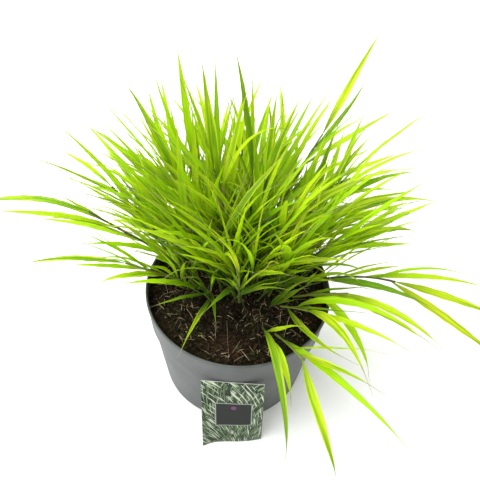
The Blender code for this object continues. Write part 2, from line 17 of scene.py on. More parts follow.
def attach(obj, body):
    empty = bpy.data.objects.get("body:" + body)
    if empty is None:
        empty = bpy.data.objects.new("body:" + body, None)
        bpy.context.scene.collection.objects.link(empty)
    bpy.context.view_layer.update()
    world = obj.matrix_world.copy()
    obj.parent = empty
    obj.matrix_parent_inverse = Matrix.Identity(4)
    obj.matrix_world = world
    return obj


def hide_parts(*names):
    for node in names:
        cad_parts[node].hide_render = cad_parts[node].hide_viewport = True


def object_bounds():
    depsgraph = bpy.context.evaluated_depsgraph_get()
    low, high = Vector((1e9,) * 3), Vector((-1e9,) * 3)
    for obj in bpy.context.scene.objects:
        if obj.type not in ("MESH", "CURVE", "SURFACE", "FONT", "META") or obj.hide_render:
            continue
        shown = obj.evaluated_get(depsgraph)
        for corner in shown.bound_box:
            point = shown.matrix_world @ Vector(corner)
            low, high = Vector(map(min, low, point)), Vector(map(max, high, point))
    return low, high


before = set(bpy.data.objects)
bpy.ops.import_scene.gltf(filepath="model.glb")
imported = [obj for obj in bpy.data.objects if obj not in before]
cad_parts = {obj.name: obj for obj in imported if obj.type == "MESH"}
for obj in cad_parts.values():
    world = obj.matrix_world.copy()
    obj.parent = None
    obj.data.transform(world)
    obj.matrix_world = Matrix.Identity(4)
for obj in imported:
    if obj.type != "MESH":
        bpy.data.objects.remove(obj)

CAD_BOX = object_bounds()

bl_info = {
    "name": "Potted japanese forest grass",
    "version": (1, 0, 0),
    "blender": (4, 5, 0),
    "location": "3D View > Sidebar > Forest grass",
    "description": "Fine pot, soil, leafy stems and label for the potted grass",
    "category": "Object",
}

# The rule of growth, as in the part's source
SEED = 11
TRIES = 40
ROUTE_STEPS = 25
HOLE_DEPTH = 0.020
STEM_STATIONS = (0, 6, 12, 18, 25)
STEM_RADII = (0.0018, 0.0012)
SWELL_SHARE = 0.36
CROWN = (0.002, 0.040)
CROWN_RADII = (0.068, 0.054)
FILLING_SHOOTS = 37
GOLDEN_ANGLE = 137.508
LOWEST_SHARE = 0.26
FRONT_BARE = 0.22
FRONT_HOLD = 0.25
SAME_PLACE = 0.00003

# The outer shoots, each with its name, root, heading, lean, end lean and length, and then its leaves,
# each with its share of the stem, heading, lean, end lean, length and width, and some with their
# sweep and arching
OUTER_SHOOTS = (
    ("left_long", (-0.045, 0.038), 188, 48, 46, 0.165,
     (0.31, 198, 46, 87, 0.125, 0.010), (0.54, 178, 64, 100, 0.145, 0.009),
     (0.76, 190, 60, 92, 0.150, 0.011), (1.00, 184, 60, 122, 0.140, 0.011)),
    ("left_low", (-0.052, 0.022), 196, 56, 52, 0.090,
     (0.45, 212, 48, 92, 0.100, 0.012), (0.72, 184, 76, 100, 0.100, 0.008),
     (1.00, 190, 68, 106, 0.125, 0.010)),
    ("left_upper", (-0.042, 0.052), 168, 56, 40, 0.148,
     (0.46, 176, 48, 60, 0.130, 0.012), (0.72, 170, 52, 97, 0.095, 0.009),
     (1.00, 160, 48, 84, 0.080, 0.009)),
    ("left_high", (-0.036, 0.056), 150, 50, 40, 0.115,
     (0.60, 160, 34, 85, 0.145, 0.009), (0.80, 140, 28, 64, 0.115, 0.008),
     (1.00, 152, 40, 92, 0.115, 0.012)),
    ("left_top", (-0.026, 0.060), 142, 34, 34, 0.118,
     (0.60, 162, 42, 62, 0.090, 0.010), (0.80, 138, 38, 52, 0.140, 0.008),
     (1.00, 136, 36, 62, 0.090, 0.010)),
    ("top_left", (-0.020, 0.062), 140, 18, 28, 0.132,
     (0.60, 158, 38, 62, 0.140, 0.009), (0.80, 165, 26, 34, 0.160, 0.009, -45),
     (1.00, 116, 17, 25, 0.150, 0.013)),
    ("top_middle", (-0.010, 0.056), 130, 14, 22, 0.130,
     (0.60, 136, 20, 34, 0.165, 0.008), (0.85, 100, 12, 24, 0.165, 0.010),
     (1.00, 115, 14, 26, 0.140, 0.011)),
    ("top_right", (0.008, 0.058), 90, 8, 14, 0.125,
     (0.60, 40, 16, 38, 0.170, 0.010), (0.85, 100, 16, 24, 0.150, 0.009),
     (1.00, 125, 12, 28, 0.160, 0.012)),
    ("right_top", (0.020, 0.058), 56, 22, 64, 0.180,
     (0.60, 24, 70, 76, 0.125, 0.009), (0.76, 28, 66, 72, 0.150, 0.011),
     (0.88, 38, 56, 24, 0.115, 0.009), (1.00, 46, 34, 36, 0.150, 0.013)),
    ("right_upper", (0.034, 0.050), 40, 20, 60, 0.135,
     (0.75, 16, 72, 122, 0.165, 0.010), (0.88, 36, 48, 44, 0.095, 0.010),
     (1.00, 22, 72, 84, 0.100, 0.010)),
    ("right_middle", (0.048, 0.045), 24, 20, 70, 0.120,
     (0.55, 14, 60, 88, 0.148, 0.012), (0.79, 18, 64, 126, 0.165, 0.010),
     (1.00, 12, 76, 92, 0.085, 0.010)),
    ("right_wide", (0.056, 0.034), 12, 22, 68, 0.085,
     (0.30, 356, 74, 92, 0.090, 0.011), (0.76, 8, 80, 98, 0.122, 0.010),
     (1.00, 14, 62, 122, 0.106, 0.011)),
    ("right_low", (0.058, 0.022), 356, 42, 100, 0.130,
     (0.40, 342, 66, 108, 0.140, 0.011), (0.72, 2, 80, 112, 0.170, 0.009),
     (0.96, 328, 96, 112, 0.175, 0.012), (1.00, 350, 94, 112, 0.160, 0.012)),
    ("right_front", (0.050, 0.006), 338, 46, 60, 0.088,
     (0.45, 345, 62, 104, 0.118, 0.009), (0.62, 306, 66, 160, 0.125, 0.011),
     (0.85, 330, 78, 106, 0.122, 0.009), (1.00, 333, 76, 126, 0.128, 0.010)),
    ("front_right", (0.038, -0.006), 320, 44, 60, 0.070,
     (0.45, 289, 73, 76, 0.117, 0.008, 34), (0.62, 339, 23, 112, 0.170, 0.011, -6, 0.8),
     (0.85, 304, 38, 113, 0.135, 0.012, -11, 1.0), (1.00, 326, 62, 90, 0.118, 0.008)),
    ("front_low", (0.034, -0.040), 304, 44, 84, 0.070,
     (0.50, 314, 68, 106, 0.198, 0.010), (0.86, 324, 60, 86, 0.105, 0.008),
     (1.00, 280, 86, 158, 0.145, 0.011, 23, 1.5)),
    ("front_middle", (0.026, -0.034), 288, 40, 62, 0.052,
     (0.50, 282, 44, 176, 0.190, 0.010), (1.00, 290, 60, 160, 0.080, 0.009)),
    ("front_left", (-0.024, -0.004), 225, 20, 30, 0.020,
     (0.60, 253, 62, 98, 0.100, 0.008), (0.75, 280, 56, 104, 0.055, 0.007),
     (0.85, 205, 74, 96, 0.070, 0.007), (1.00, 205, 42, 84, 0.130, 0.013)),
    ("front_cross", (-0.004, -0.004), 20, 12, 20, 0.030,
     (0.55, 346, 73, 101, 0.205, 0.011), (0.70, 262, 44, 112, 0.120, 0.010, -24),
     (0.88, 331, 12, 93, 0.163, 0.013, 35, 0.7)),
    ("front_middle_high", (-0.014, 0.012), 240, 6, 14, 0.100,
     (0.50, 190, 26, 70, 0.110, 0.009), (0.75, 196, 34, 92, 0.120, 0.011),
     (1.00, 40, 30, 62, 0.130, 0.011)),
)

# How a blade is laid, by its share along: its width, its least half width and its thickness
TAPER = ((0.55, 0.78, 0.90), (1.0, 0.82, 0.42))
LEAST_HALF = ((0, 0.06, 0.9, 1), (0.0005, 0.0010, 0.00038, 0.00016))
THINNING = ((0, 0.8, 1), (1.0, 0.75, 0.25))
HAIR_TIP = 3.0

# The shoots whose blades are broader than the others', and by how much
BROAD_BLADED = (
    "shoot_left_long", "shoot_left_low", "shoot_right_wide", "shoot_right_low", "shoot_right_front",
    "shoot_front_right", "shoot_front_low", "shoot_front_middle", "shoot_front_cross",
)
BROADER = 1.25

# The smaller blades: the room that they keep, how far up a stem they start, how many curl and how,
# and how far back a shoot roots that has more than a few
FREE_FROM = 4
INSIDE_WALL = 0.105
OUTSIDE_WALL = 0.121
OVER_SOIL = 0.161
OVER_RIM = 0.168
OVER_FLOOR = 0.015
HIGHEST_SHARE = 0.88
CURLED_SHARE = 0.09
CURLED_LEAN = 95
CURLED_ARCHING = 3.0
FRONT_ROOTS = 0.010

# The pot and the soil, as in the part's source
POT_HEIGHT = 0.163
RIM_RADIUS = 0.115
BASE_RADIUS = 0.0932
COLLAR_TOP_RADIUS = 0.1136
COLLAR_FOOT_RADIUS = 0.1108
COLLAR_FOOT_HEIGHT = 0.121
SHOULDER_RADIUS = 0.1082
LIP_DEPTH = 0.0045
WALL = 0.0016
FLOOR_TOP = 0.0055
RECESS = 0.0035
FOOT_RING_RADIUS = 0.083
BOSS_RADIUS = 0.028
WALL_SLOPE = (SHOULDER_RADIUS - BASE_RADIUS) / COLLAR_FOOT_HEIGHT
DRAIN_COUNT = 6
DRAIN_RADIUS = 0.005
DRAIN_CIRCLE = 0.056
GAP = 0.0003
SOIL_BELOW_RIM = 0.014
SOIL_CROWNING = 0.007

# The label, as in the part's source
LABEL_WIDTH = 0.076
LABEL_TOP = 0.1228
LABEL_THICKNESS = 0.0008
LABEL_FOOT_MIDDLE = (0.0055, -0.1262)
LABEL_TOP_MIDDLE = (0.0010, -0.1114)
LABEL_FOOT_TURN = 9.5
LABEL_WAVE = 0.0012
LABEL_SLOT = (0.0038, 0.0080)
LABEL_SLOT_HEIGHT = 0.021

# What lies on the soil: how far out, how finely a straw bends, and the longest straws, each from
# one place to another
CRUMB_REACH = 0.104
STRAW_REACH = 0.100
SOIL_REACH = 0.108
STRAW_STEPS = 9
LONG_STRAWS = (
    (-0.011, -0.047, -0.007, -0.101),
    (0.026, -0.043, 0.028, -0.077),
    (-0.065, -0.075, -0.047, -0.075),
    (-0.039, -0.027, -0.024, -0.060),
    (0.065, -0.033, 0.057, -0.065),
    (-0.030, -0.084, 0.002, -0.074),
)

# The label's corner that curls, and its print: the card's width by its height and the panel's middle
CURL = 0.0030
CARD_SHAPE = 0.62
PANEL_MIDDLE = (0.52, 0.48)

# The middle of the crown's shade, back and up, and how far the shade reaches
SHADE_MIDDLE = (0.020, 0.165)
SHADE_REACH = (0.060, 0.140)

# The lamps, each with its place and size, the front one's share of the main one's power, and
# where they look
KEY_LAMP = ((-0.70, 0.50, 1.70), 1.8)
FRONT_LAMP = ((-0.95, -1.00, 1.35), 1.3)
FRONT_SHARE = 0.42
LIT_PLACE = (0, 0, 0.2)

# The camera's place, measured from the photo
CAMERA_PLACE = (-0.0019, -0.5351, 0.8541)
CAMERA_ELEVATION = 48.4
CAMERA_ROLL = 3.9
CAMERA_LENS = 52.5


@dataclass
class Leaf:
    """One blade: where it leaves its stem, how it sets off and arches, and its size."""

    share: float
    heading: float
    lean: float
    end_lean: float
    length: float
    width: float
    sweep: float = 0.0
    arching: float = 1.2
    twist: tuple = (12.0, -8.0)


@dataclass
class Shoot:
    """One leafy stem: where it roots, how it leans and arches, and its leaves from the lowest up."""

    name: str
    root: tuple
    heading: float
    lean: float
    end_lean: float
    length: float
    leaves: list
    sweep: float = 0.0


def outer_shoots():
    """The shoots that give the clump its outline, each leaning to its own side of the pot."""
    return [
        Shoot(f"shoot_{name}", root, heading, lean, end_lean, length, [Leaf(*leaf) for leaf in leaves])
        for name, root, heading, lean, end_lean, length, *leaves in OUTER_SHOOTS
    ]


def filling_shoots():
    """The shoots that fill the clump, set out like seeds in a sunflower and leaning outwards."""
    shoots = []
    for number in range(FILLING_SHOOTS):
        draw = random.Random(f"shoot {SEED} {number}")
        reach = math.sqrt((number + 0.5) / FILLING_SHOOTS)
        turn = number * GOLDEN_ANGLE
        x = CROWN[0] + CROWN_RADII[0] * reach * math.cos(math.radians(turn))
        y = CROWN[1] + CROWN_RADII[1] * reach * math.sin(math.radians(turn))
        heading = turn + draw.uniform(-16, 16)
        to_viewer = max(0.0, -math.sin(math.radians(heading)))
        lean = (2 + 31 * reach**1.5) * (1 - 0.6 * to_viewer) + draw.uniform(-4, 4)
        end_lean = lean + draw.uniform(4, 16)
        length = draw.uniform(0.085, 0.135) * (1 - 0.30 * to_viewer * reach)
        lowest = LOWEST_SHARE + FRONT_BARE * to_viewer
        leaves = filling_leaves(draw, heading, lean, end_lean, 70 - 55 * reach, lowest)
        shoots.append(Shoot(f"shoot_{number + 1:02d}", (x, y), heading, lean, end_lean, length, leaves))
    return shoots


def filling_leaves(draw, heading, lean, end_lean, fan, lowest):
    """The leaves of a filling shoot, in two ranks that open like a fan turned about the stem.

    They start at the lowest share of the stem, and lean less to the viewer than to the sides.
    """
    leaves = []
    count = draw.choice((8, 9, 9))
    full_length = draw.uniform(0.120, 0.165)
    droop = draw.uniform(8, 30)
    fan_turn = draw.uniform(-fan, fan)
    for number in range(count):
        last = number == count - 1
        share = lowest + (1 - lowest) * (number / (count - 1)) ** 0.9
        along = heading_vector(heading, lean + (end_lean - lean) * share)
        level = across(heading)
        roll = math.radians(fan_turn + draw.uniform(-26, 26))
        side = level * math.cos(roll) + np.cross(along, level) * math.sin(roll)
        apart = math.radians((0.25 if last else 1.0) * draw.uniform(14, 30))
        course = along * math.cos(apart) + side * (math.sin(apart) if number % 2 else -math.sin(apart))
        if course[1] < 0:
            course[1] *= FRONT_HOLD
            course /= np.linalg.norm(course)
        leaf_lean = math.degrees(math.acos(course[2]))
        vigour = 0.80 + 0.20 * math.sin(math.pi * (0.15 + 0.75 * number / (count - 1)))
        length = full_length * vigour * draw.uniform(0.85, 1.12)
        leaves.append(
            Leaf(
                share, math.degrees(math.atan2(course[1], course[0])), leaf_lean,
                min(leaf_lean + droop * draw.uniform(0.4, 1.6) + 4, 150), length,
                draw.uniform(0.0078, 0.0120), draw.uniform(-14, 14), draw.uniform(0.9, 1.8),
                (draw.uniform(-38, 38), draw.uniform(-22, 22)),
            )
        )
    return leaves


def heading_vector(heading, lean):
    """Unit vector at this lean from upright, towards this heading."""
    turn, tilt = math.radians(heading), math.radians(lean)
    return np.array(
        (math.cos(turn) * math.sin(tilt), math.sin(turn) * math.sin(tilt), math.cos(tilt))
    )


def across(heading):
    """Level unit vector to the left of this heading."""
    turn = math.radians(heading)
    return np.array((-math.sin(turn), math.cos(turn), 0.0))


def grown_route(start, heading, sweep, lean, end_lean, arching, length):
    """Points of a stem or a blade from root to tip, and the level vector across it at each.

    The lean goes from its first value to its last, late in the length where arching is high,
    and the heading swings by the sweep.
    """
    points, sides = [np.array(start, float)], [across(heading)]
    for step in range(ROUTE_STEPS):
        share = (step + 0.5) / ROUTE_STEPS
        now = heading + sweep * share
        tilt = lean + (end_lean - lean) * share**arching
        points.append(points[-1] + heading_vector(now, tilt) * length / ROUTE_STEPS)
        sides.append(across(now))
    return np.array(points), np.array(sides)


def stem_route(shoot, attempt):
    """The stem's route at this attempt: the first as it is set down, later ones further off it."""
    draw = random.Random(f"stem {SEED} {shoot.name} {attempt}")
    off = 0.0 if attempt == 0 else 1.5 + 0.3 * attempt
    x, y = shoot.root
    return grown_route(
        (x, y, soil_height(x, y) - HOLE_DEPTH), shoot.heading + draw.uniform(-off, off), shoot.sweep,
        shoot.lean + draw.uniform(-off, off), shoot.end_lean + draw.uniform(-off, off), 1.0,
        shoot.length + HOLE_DEPTH,
    )


def leaf_route(shoot, stem, number, attempt):
    """A leaf's route at this attempt, which wanders and shortens as the attempts go on."""
    draw = random.Random(f"leaf {SEED} {shoot.name} {number} {attempt}")
    leaf = shoot.leaves[number]
    off = 0.0 if attempt == 0 else 2.0 + 0.4 * attempt
    middles = stem[0][list(STEM_STATIONS)]
    root = [np.interp(leaf.share * ROUTE_STEPS, STEM_STATIONS, middles[:, axis]) for axis in range(3)]
    return grown_route(
        root, leaf.heading + draw.uniform(-off, off), leaf.sweep, leaf.lean + draw.uniform(-off, off),
        leaf.end_lean + draw.uniform(-off, off), leaf.arching, leaf.length * (1 - 0.01 * attempt),
    )


def blade_shape(share):
    """Width of a blade as a share of its widest, from a narrow root to a long drawn-out tip."""
    swell = math.sin(0.5 * math.pi * min(share / SWELL_SHARE, 1.0)) ** 0.8
    taper = 1.0 - (max(share - SWELL_SHARE, 0.0) / (1 - SWELL_SHARE)) ** 1.55
    return max(swell * taper, 0.0)


def soil_height(x, y):
    """Height of the bare soil, crowned in the middle and a little uneven."""
    reach = min(math.hypot(x, y) / RIM_RADIUS, 1.0)
    lumps = 0.0012 * math.sin(61 * x + 1.3) * math.cos(53 * y - 0.4) + 0.0008 * math.sin(97 * y + 40 * x)
    return POT_HEIGHT - SOIL_BELOW_RIM + SOIL_CROWNING * (1 - reach**2) + lumps * (1 - reach**4)


def turned_sides(points, sides, twist):
    """Vectors across and square to the blade at each point, turned by the twist along it."""
    along = np.gradient(points, axis=0)
    along /= np.linalg.norm(along, axis=1)[:, None]
    wide, square = [], []
    for number, (tangent, side) in enumerate(zip(along, sides)):
        side = side - tangent * (side @ tangent)
        side /= np.linalg.norm(side)
        normal = np.cross(tangent, side)
        turn = math.radians(twist[0] + (twist[1] - twist[0]) * number / (len(points) - 1))
        wide.append(side * math.cos(turn) + normal * math.sin(turn))
        square.append(normal * math.cos(turn) - side * math.sin(turn))
    return np.array(wide), np.array(square)


def stem_rings(route):
    """The three-cornered sections of the part's own stem."""
    points, sides = route
    wide, square = turned_sides(points, sides, (0, 0))
    rings = []
    for station in STEM_STATIONS:
        radius = np.interp(station / ROUTE_STEPS, (0, 1), STEM_RADII)
        ring = []
        for corner in range(3):
            turn = 2 * math.pi * (corner + 0.25) / 3
            ring.append(
                points[station] + radius * (wide[station] * math.cos(turn) + square[station] * math.sin(turn))
            )
        rings.append(ring)
    return rings


# Sizes and colours that a user would change

class PotLook(bpy.types.PropertyGroup):
    sides: IntProperty(name="Sides", description="Facets round the pot", default=128, min=24)
    plastic: FloatVectorProperty(
        name="Plastic", description="Colour of the pot", subtype="COLOR", size=4,
        default=(0.062, 0.069, 0.066, 1.0),
    )


class SoilLook(bpy.types.PropertyGroup):
    rings: IntProperty(name="Rings", description="Rings of the soil's top", default=56, min=8)
    roughness: FloatProperty(
        name="Lumps", description="Height of the lumps in the soil", default=0.0036, unit="LENGTH",
    )
    crumbs: IntProperty(name="Crumbs", description="Loose crumbs of peat and bark", default=1700, min=0)
    straws: IntProperty(name="Straws", description="Dry straws and root fibres", default=640, min=0)
    peat: FloatVectorProperty(
        name="Peat", description="Colour of the soil", subtype="COLOR", size=4,
        default=(0.0030, 0.0020, 0.0010, 1.0),
    )


class GrassLook(bpy.types.PropertyGroup):
    thickness: FloatProperty(
        name="Thickness", description="Thickness of a blade at its middle", default=0.00045, unit="LENGTH",
    )
    fold: FloatProperty(
        name="Fold", description="Depth of a blade's channel as a share of its half width",
        default=0.30, min=0.0, max=1.0, subtype="FACTOR",
    )
    slender: FloatProperty(
        name="Slender", description="Width of a blade as a share of the solid's own blade",
        default=0.76, min=0.0, max=1.0, subtype="FACTOR",
    )
    inner_blades: IntProperty(
        name="Inner blades", description="Smaller blades added to each inner stem", default=14, min=0,
    )
    outer_blades: IntProperty(
        name="Outer blades", description="Smaller blades added to each outer stem", default=5, min=0,
    )
    young_shoots: IntProperty(
        name="Young shoots", description="Short shoots that rise between the stems", default=70, min=0,
    )
    green: FloatVectorProperty(
        name="Green", description="Colour of the fresh blades", subtype="COLOR", size=4,
        default=(0.375, 0.650, 0.005, 1.0),
    )
    deep_green: FloatVectorProperty(
        name="Deep green", description="Colour of the greener blades", subtype="COLOR", size=4,
        default=(0.085, 0.240, 0.004, 1.0),
    )
    yellow: FloatVectorProperty(
        name="Yellow", description="Colour of the stripes and edges", subtype="COLOR", size=4,
        default=(0.720, 0.840, 0.014, 1.0),
    )
    dry: FloatVectorProperty(
        name="Dry", description="Colour of the withered tips", subtype="COLOR", size=4,
        default=(0.130, 0.100, 0.095, 1.0),
    )


class LabelLook(bpy.types.PropertyGroup):
    columns: IntProperty(name="Columns", description="Faces across the card", default=40, min=4)
    rows: IntProperty(name="Rows", description="Faces up the card", default=56, min=4)
    panel: FloatVectorProperty(
        name="Panel", description="Colour of the plain panel on the print", subtype="COLOR", size=4,
        default=(0.008, 0.010, 0.008, 1.0),
    )


class StageLook(bpy.types.PropertyGroup):
    floor_size: FloatProperty(name="Floor", description="Side of the floor", default=12.0, unit="LENGTH")
    sky: FloatProperty(name="Sky", description="Strength of the even light", default=0.92)
    key: FloatProperty(name="Key", description="Power of the main lamp", default=44.0, unit="POWER")


# Materials

class Value:
    """A node's output, on which Python arithmetic adds Math nodes."""

    def __init__(self, paint, link):
        self.paint = paint
        self.link = link

    def __add__(self, other):
        return self.paint.math("ADD", self, other)

    def __radd__(self, other):
        return self.paint.math("ADD", other, self)

    def __sub__(self, other):
        return self.paint.math("SUBTRACT", self, other)

    def __rsub__(self, other):
        return self.paint.math("SUBTRACT", other, self)

    def __mul__(self, other):
        return self.paint.math("MULTIPLY", self, other)

    def __rmul__(self, other):
        return self.paint.math("MULTIPLY", other, self)

    def __pow__(self, other):
        return self.paint.math("POWER", self, other)


class Paint:
    """A material under construction."""

    def __init__(self, name):
        self.material = bpy.data.materials.new(name)
        self.material.use_nodes = True
        self.tree = self.material.node_tree
        self.tree.nodes.clear()

    def node(self, kind, settings=None, values=None, output=0):
        """Add a node with these settings and input values or links, and give one of its outputs."""
        node = self.tree.nodes.new(kind)
        for name, setting in (settings or {}).items():
            setattr(node, name, setting)
        for name, value in (values or {}).items():
            socket = node.inputs[name]
            if isinstance(value, Value):
                self.tree.links.new(value.link, socket)
            elif socket.type == "RGBA" and len(value) == 3:
                socket.default_value = (*value, 1.0)
            else:
                socket.default_value = value
        return Value(self, node.outputs[output] if len(node.outputs) else None)

    def math(self, operation, *values):
        return self.node("ShaderNodeMath", {"operation": operation}, dict(enumerate(values)))

    def mix(self, share, first, second):
        """A colour between two, by a share from 0 to 1."""
        return self.node(
            "ShaderNodeMix", {"data_type": "RGBA", "clamp_factor": True}, {0: share, 6: first, 7: second}, 2
        )

    def rise(self, value, start, end):
        """0 below start, 1 above end and smooth between them."""
        return self.node(
            "ShaderNodeMapRange", {"interpolation_type": "SMOOTHSTEP"}, {0: value, 1: start, 2: end}
        )

    def fall(self, value, start, end):
        """1 below start, 0 above end and smooth between them."""
        return 1 - self.rise(value, start, end)

    def chance(self, number, seed):
        """A random share for each number."""
        return self.node("ShaderNodeTexWhiteNoise", {"noise_dimensions": "1D"}, {"W": number + seed})

    def place(self):
        """Where on the piece a point lies."""
        return self.node("ShaderNodeTexCoord", output="Object")

    def mapped(self, name):
        """The X and Y of the piece's own map of this name."""
        return self.split(self.node("ShaderNodeUVMap", {"uv_map": name}))[:2]

    def stretched(self, vector, scale, turn=(0.0, 0.0, 0.0)):
        return self.node("ShaderNodeMapping", None, {"Vector": vector, "Rotation": turn, "Scale": scale})

    def noise(self, vector, scale, detail=3.0, roughness=0.55):
        return self.node(
            "ShaderNodeTexNoise", None,
            {"Vector": vector, "Scale": scale, "Detail": detail, "Roughness": roughness},
        )

    def split(self, vector):
        """The X, Y and Z of a vector."""
        node = self.node("ShaderNodeSeparateXYZ", None, {0: vector}).link.node
        return [Value(self, output) for output in node.outputs]

    def joined(self, x, y, z):
        return self.node("ShaderNodeCombineXYZ", None, {0: x, 1: y, 2: z})

    def bump(self, height, distance, strength=1.0):
        values = {"Height": height, "Distance": distance, "Strength": strength}
        return self.node("ShaderNodeBump", None, values)

    def surface(self, colour, roughness, normal=None, sheen=0.5, see_through=None, share=0.0):
        """Finish the material, with a share of light let through where a colour for it is given."""
        values = {"Base Color": colour, "Roughness": roughness, "Specular IOR Level": sheen}
        if normal is not None:
            values["Normal"] = normal
        shader = self.node("ShaderNodeBsdfPrincipled", None, values)
        if see_through is not None:
            behind = self.node("ShaderNodeBsdfTranslucent", None, {"Color": see_through})
            shader = self.node("ShaderNodeMixShader", None, {0: share, 1: shader, 2: behind})
        self.node("ShaderNodeOutputMaterial", None, {"Surface": shader})
        return self.material


def pot_plastic(look):
    """Matt grey plastic with faint clouds, a little dust low down, painted shade under the lip and the
    collar, and a fine grain.
    """
    paint = Paint("pot_plastic")
    place = paint.place()
    height = paint.split(place)[2]
    clouds = paint.noise(place, 26.0, 4.0)
    wiped = paint.noise(paint.stretched(place, (60, 60, 9)), 1.0, 3.0)
    darker, lighter = ([share * channel for channel in look.plastic[:3]] for share in (0.80, 1.22))
    colour = paint.mix(paint.rise(clouds * 0.6 + wiped * 0.4, 0.36, 0.66), darker, lighter)
    dust = paint.rise(paint.noise(place, 190.0, 2.0) + 0.10 * clouds, 0.60, 0.78)
    dust = dust * paint.fall(height, 0.02, 0.11)
    colour = paint.mix(dust * 0.30, colour, (0.13, 0.12, 0.09))
    lip, collar = POT_HEIGHT - LIP_DEPTH, COLLAR_FOOT_HEIGHT
    # Painted shade: a dark band just under the lip and another just under the collar's foot
    painted_shade_under_lip = paint.rise(height, lip - 0.0030, lip) * paint.fall(height, lip, lip + 0.0006)
    painted_shade_under_collar = paint.rise(height, collar - 0.007, collar - 0.001)
    painted_shade_under_collar = painted_shade_under_collar * paint.fall(height, collar, collar + 0.0012)
    colour = paint.mix(painted_shade_under_lip * 0.6 + painted_shade_under_collar * 0.4, colour, (0.010, 0.011, 0.011))
    grain = paint.bump(paint.noise(place, 900.0, 2.0), 0.00008, 0.6)
    return paint.surface(colour, 0.42 + 0.16 * wiped, grain, sheen=0.38)


def peat(look):
    """Dark moist peat with paler fibres, green specks of moss and a rusty patch in front."""
    paint = Paint("peat")
    place = paint.place()
    x, y, _ = paint.split(place)
    coarse = paint.noise(place, 165.0, 5.0, 0.70)
    fine = paint.noise(place, 620.0, 4.0, 0.7)
    colour = paint.mix(paint.rise(coarse, 0.40, 0.72), look.peat, (0.024, 0.017, 0.008))
    for scale, turn, least, share, tint in (
        ((260, 1300, 400), (0.2, 0.4, 0.7), 0.62, 0.55, (0.110, 0.080, 0.042)),
        ((1300, 230, 400), (0.1, 0.2, -0.5), 0.63, 0.45, (0.080, 0.060, 0.032)),
    ):
        fibres = paint.noise(paint.stretched(place, scale, turn), 1.0, 3.0, 0.6)
        colour = paint.mix(paint.rise(fibres, least, least + 0.08) * share, colour, tint)
    moss = paint.rise(paint.noise(place, 34.0, 3.0), 0.50, 0.66) * paint.rise(fine, 0.46, 0.62)
    colour = paint.mix(moss * 0.70, colour, (0.024, 0.032, 0.005))
    reach = ((x + 0.010) ** 2.0 + ((y + 0.080) * 1.5) ** 2.0) ** 0.5
    rust = paint.fall(reach, 0.010, 0.034) * paint.rise(fine, 0.40, 0.60)
    colour = paint.mix(rust * 0.35, colour, (0.050, 0.016, 0.008))
    bumps = paint.bump(coarse * 0.7 + fine * 0.3, 0.0022, 0.9)
    return paint.surface(colour, 0.95, bumps, sheen=0.06)


def loose(name, dark, pale):
    """Crumbs and straws: one colour to another by the piece's place, rough."""
    paint = Paint(name)
    place = paint.place()
    shade = paint.noise(place, 340.0, 2.0)
    fine = paint.noise(place, 1400.0, 2.0)
    colour = paint.mix(paint.rise(shade * 0.75 + fine * 0.25, 0.34, 0.66), dark, pale)
    return paint.surface(colour, 0.85, paint.bump(fine, 0.0002, 0.7), sheen=0.1)


def blade_green(look):
    """Living blade: green with yellow stripes and edges, fine veins and a withered tip, with painted shade
    near the crown and at each blade's foot.

    The blade's own map gives its number and the share across it in X, and the share along it in Y.
    """
    paint = Paint("blade_green")
    x, along = paint.mapped("blade")
    number, across = paint.math("FLOOR", x), paint.math("FRACT", x)
    first, second, third = (paint.chance(number, seed) for seed in (0.31, 0.77, 0.13))
    edge = paint.math("ABSOLUTE", across - 0.5) * 2
    stripes = paint.noise(
        paint.joined(across * 6 + first * 91, along * 0.9 + second * 37, first * 53), 1.0, 2.0, 0.6
    )
    broad = paint.noise(
        paint.joined(across * 2.2 + second * 67, along * 2.6 + first * 29, second * 31), 1.0, 1.0
    )
    # Painted shade: the nearer a blade lies to the crown's middle, the darker, less yellow and less
    # see-through it is painted
    sideways, back, height = paint.split(paint.place())
    back, height = back - SHADE_MIDDLE[0], height - SHADE_MIDDLE[1]
    from_crown = (sideways * sideways + back * back + height * height) ** 0.5
    shaded = paint.fall(from_crown + 0.03 * first, *SHADE_REACH)
    colour = paint.mix(paint.rise(first + 0.40 * shaded, 0.20, 0.95), look.green, look.deep_green)
    yellowing = stripes * 0.66 + broad * 0.34 + 0.22 * (second - 0.5) + 0.08 * edge - 0.14 * shaded
    colour = paint.mix(paint.rise(yellowing, 0.48, 0.68) * 0.82, colour, look.yellow)
    rimmed = paint.rise(edge, 0.66, 0.90) * paint.rise(third, 0.35, 0.75) * (1 - 0.7 * shaded)
    colour = paint.mix(rimmed * 0.70, colour, look.yellow)
    warmed = paint.rise(broad + 0.45 * third, 0.80, 1.00) * (1 - shaded)
    colour = paint.mix(warmed * 0.30, colour, (0.62, 0.52, 0.020))
    colour = paint.mix(paint.fall(edge, 0.02, 0.09) * 0.35, colour, (0.56, 0.72, 0.05))
    # Painted shade: each blade darker green towards its foot, where it lies inside the clump
    colour = paint.mix(paint.fall(along, 0.02, 0.34) * 0.55, colour, (0.050, 0.115, 0.008))
    colour = paint.mix(shaded * 0.74, colour, (0.022, 0.066, 0.005))
    veins = paint.math("SINE", across * 50)
    colour = paint.mix(paint.rise(veins, 0.0, 1.0) * 0.26, colour, look.deep_green)
    withered = paint.rise(along + 0.12 * (third - 0.5) + 0.04 * stripes, 0.895, 0.955)
    dried = paint.mix(paint.rise(first, 0.35, 0.65), look.dry, (0.300, 0.260, 0.070))
    colour = paint.mix(withered * 0.90, colour, dried)
    bumps = paint.bump(veins * (1 - edge * 0.4), 0.00010, 0.55)
    return paint.surface(
        colour, 0.46 + 0.20 * withered + 0.10 * second, bumps, sheen=0.24,
        see_through=(0.69, 0.90, 0.008),
        share=(0.48 - 0.20 * first - 0.24 * shaded) * (1 - 0.9 * withered),
    )


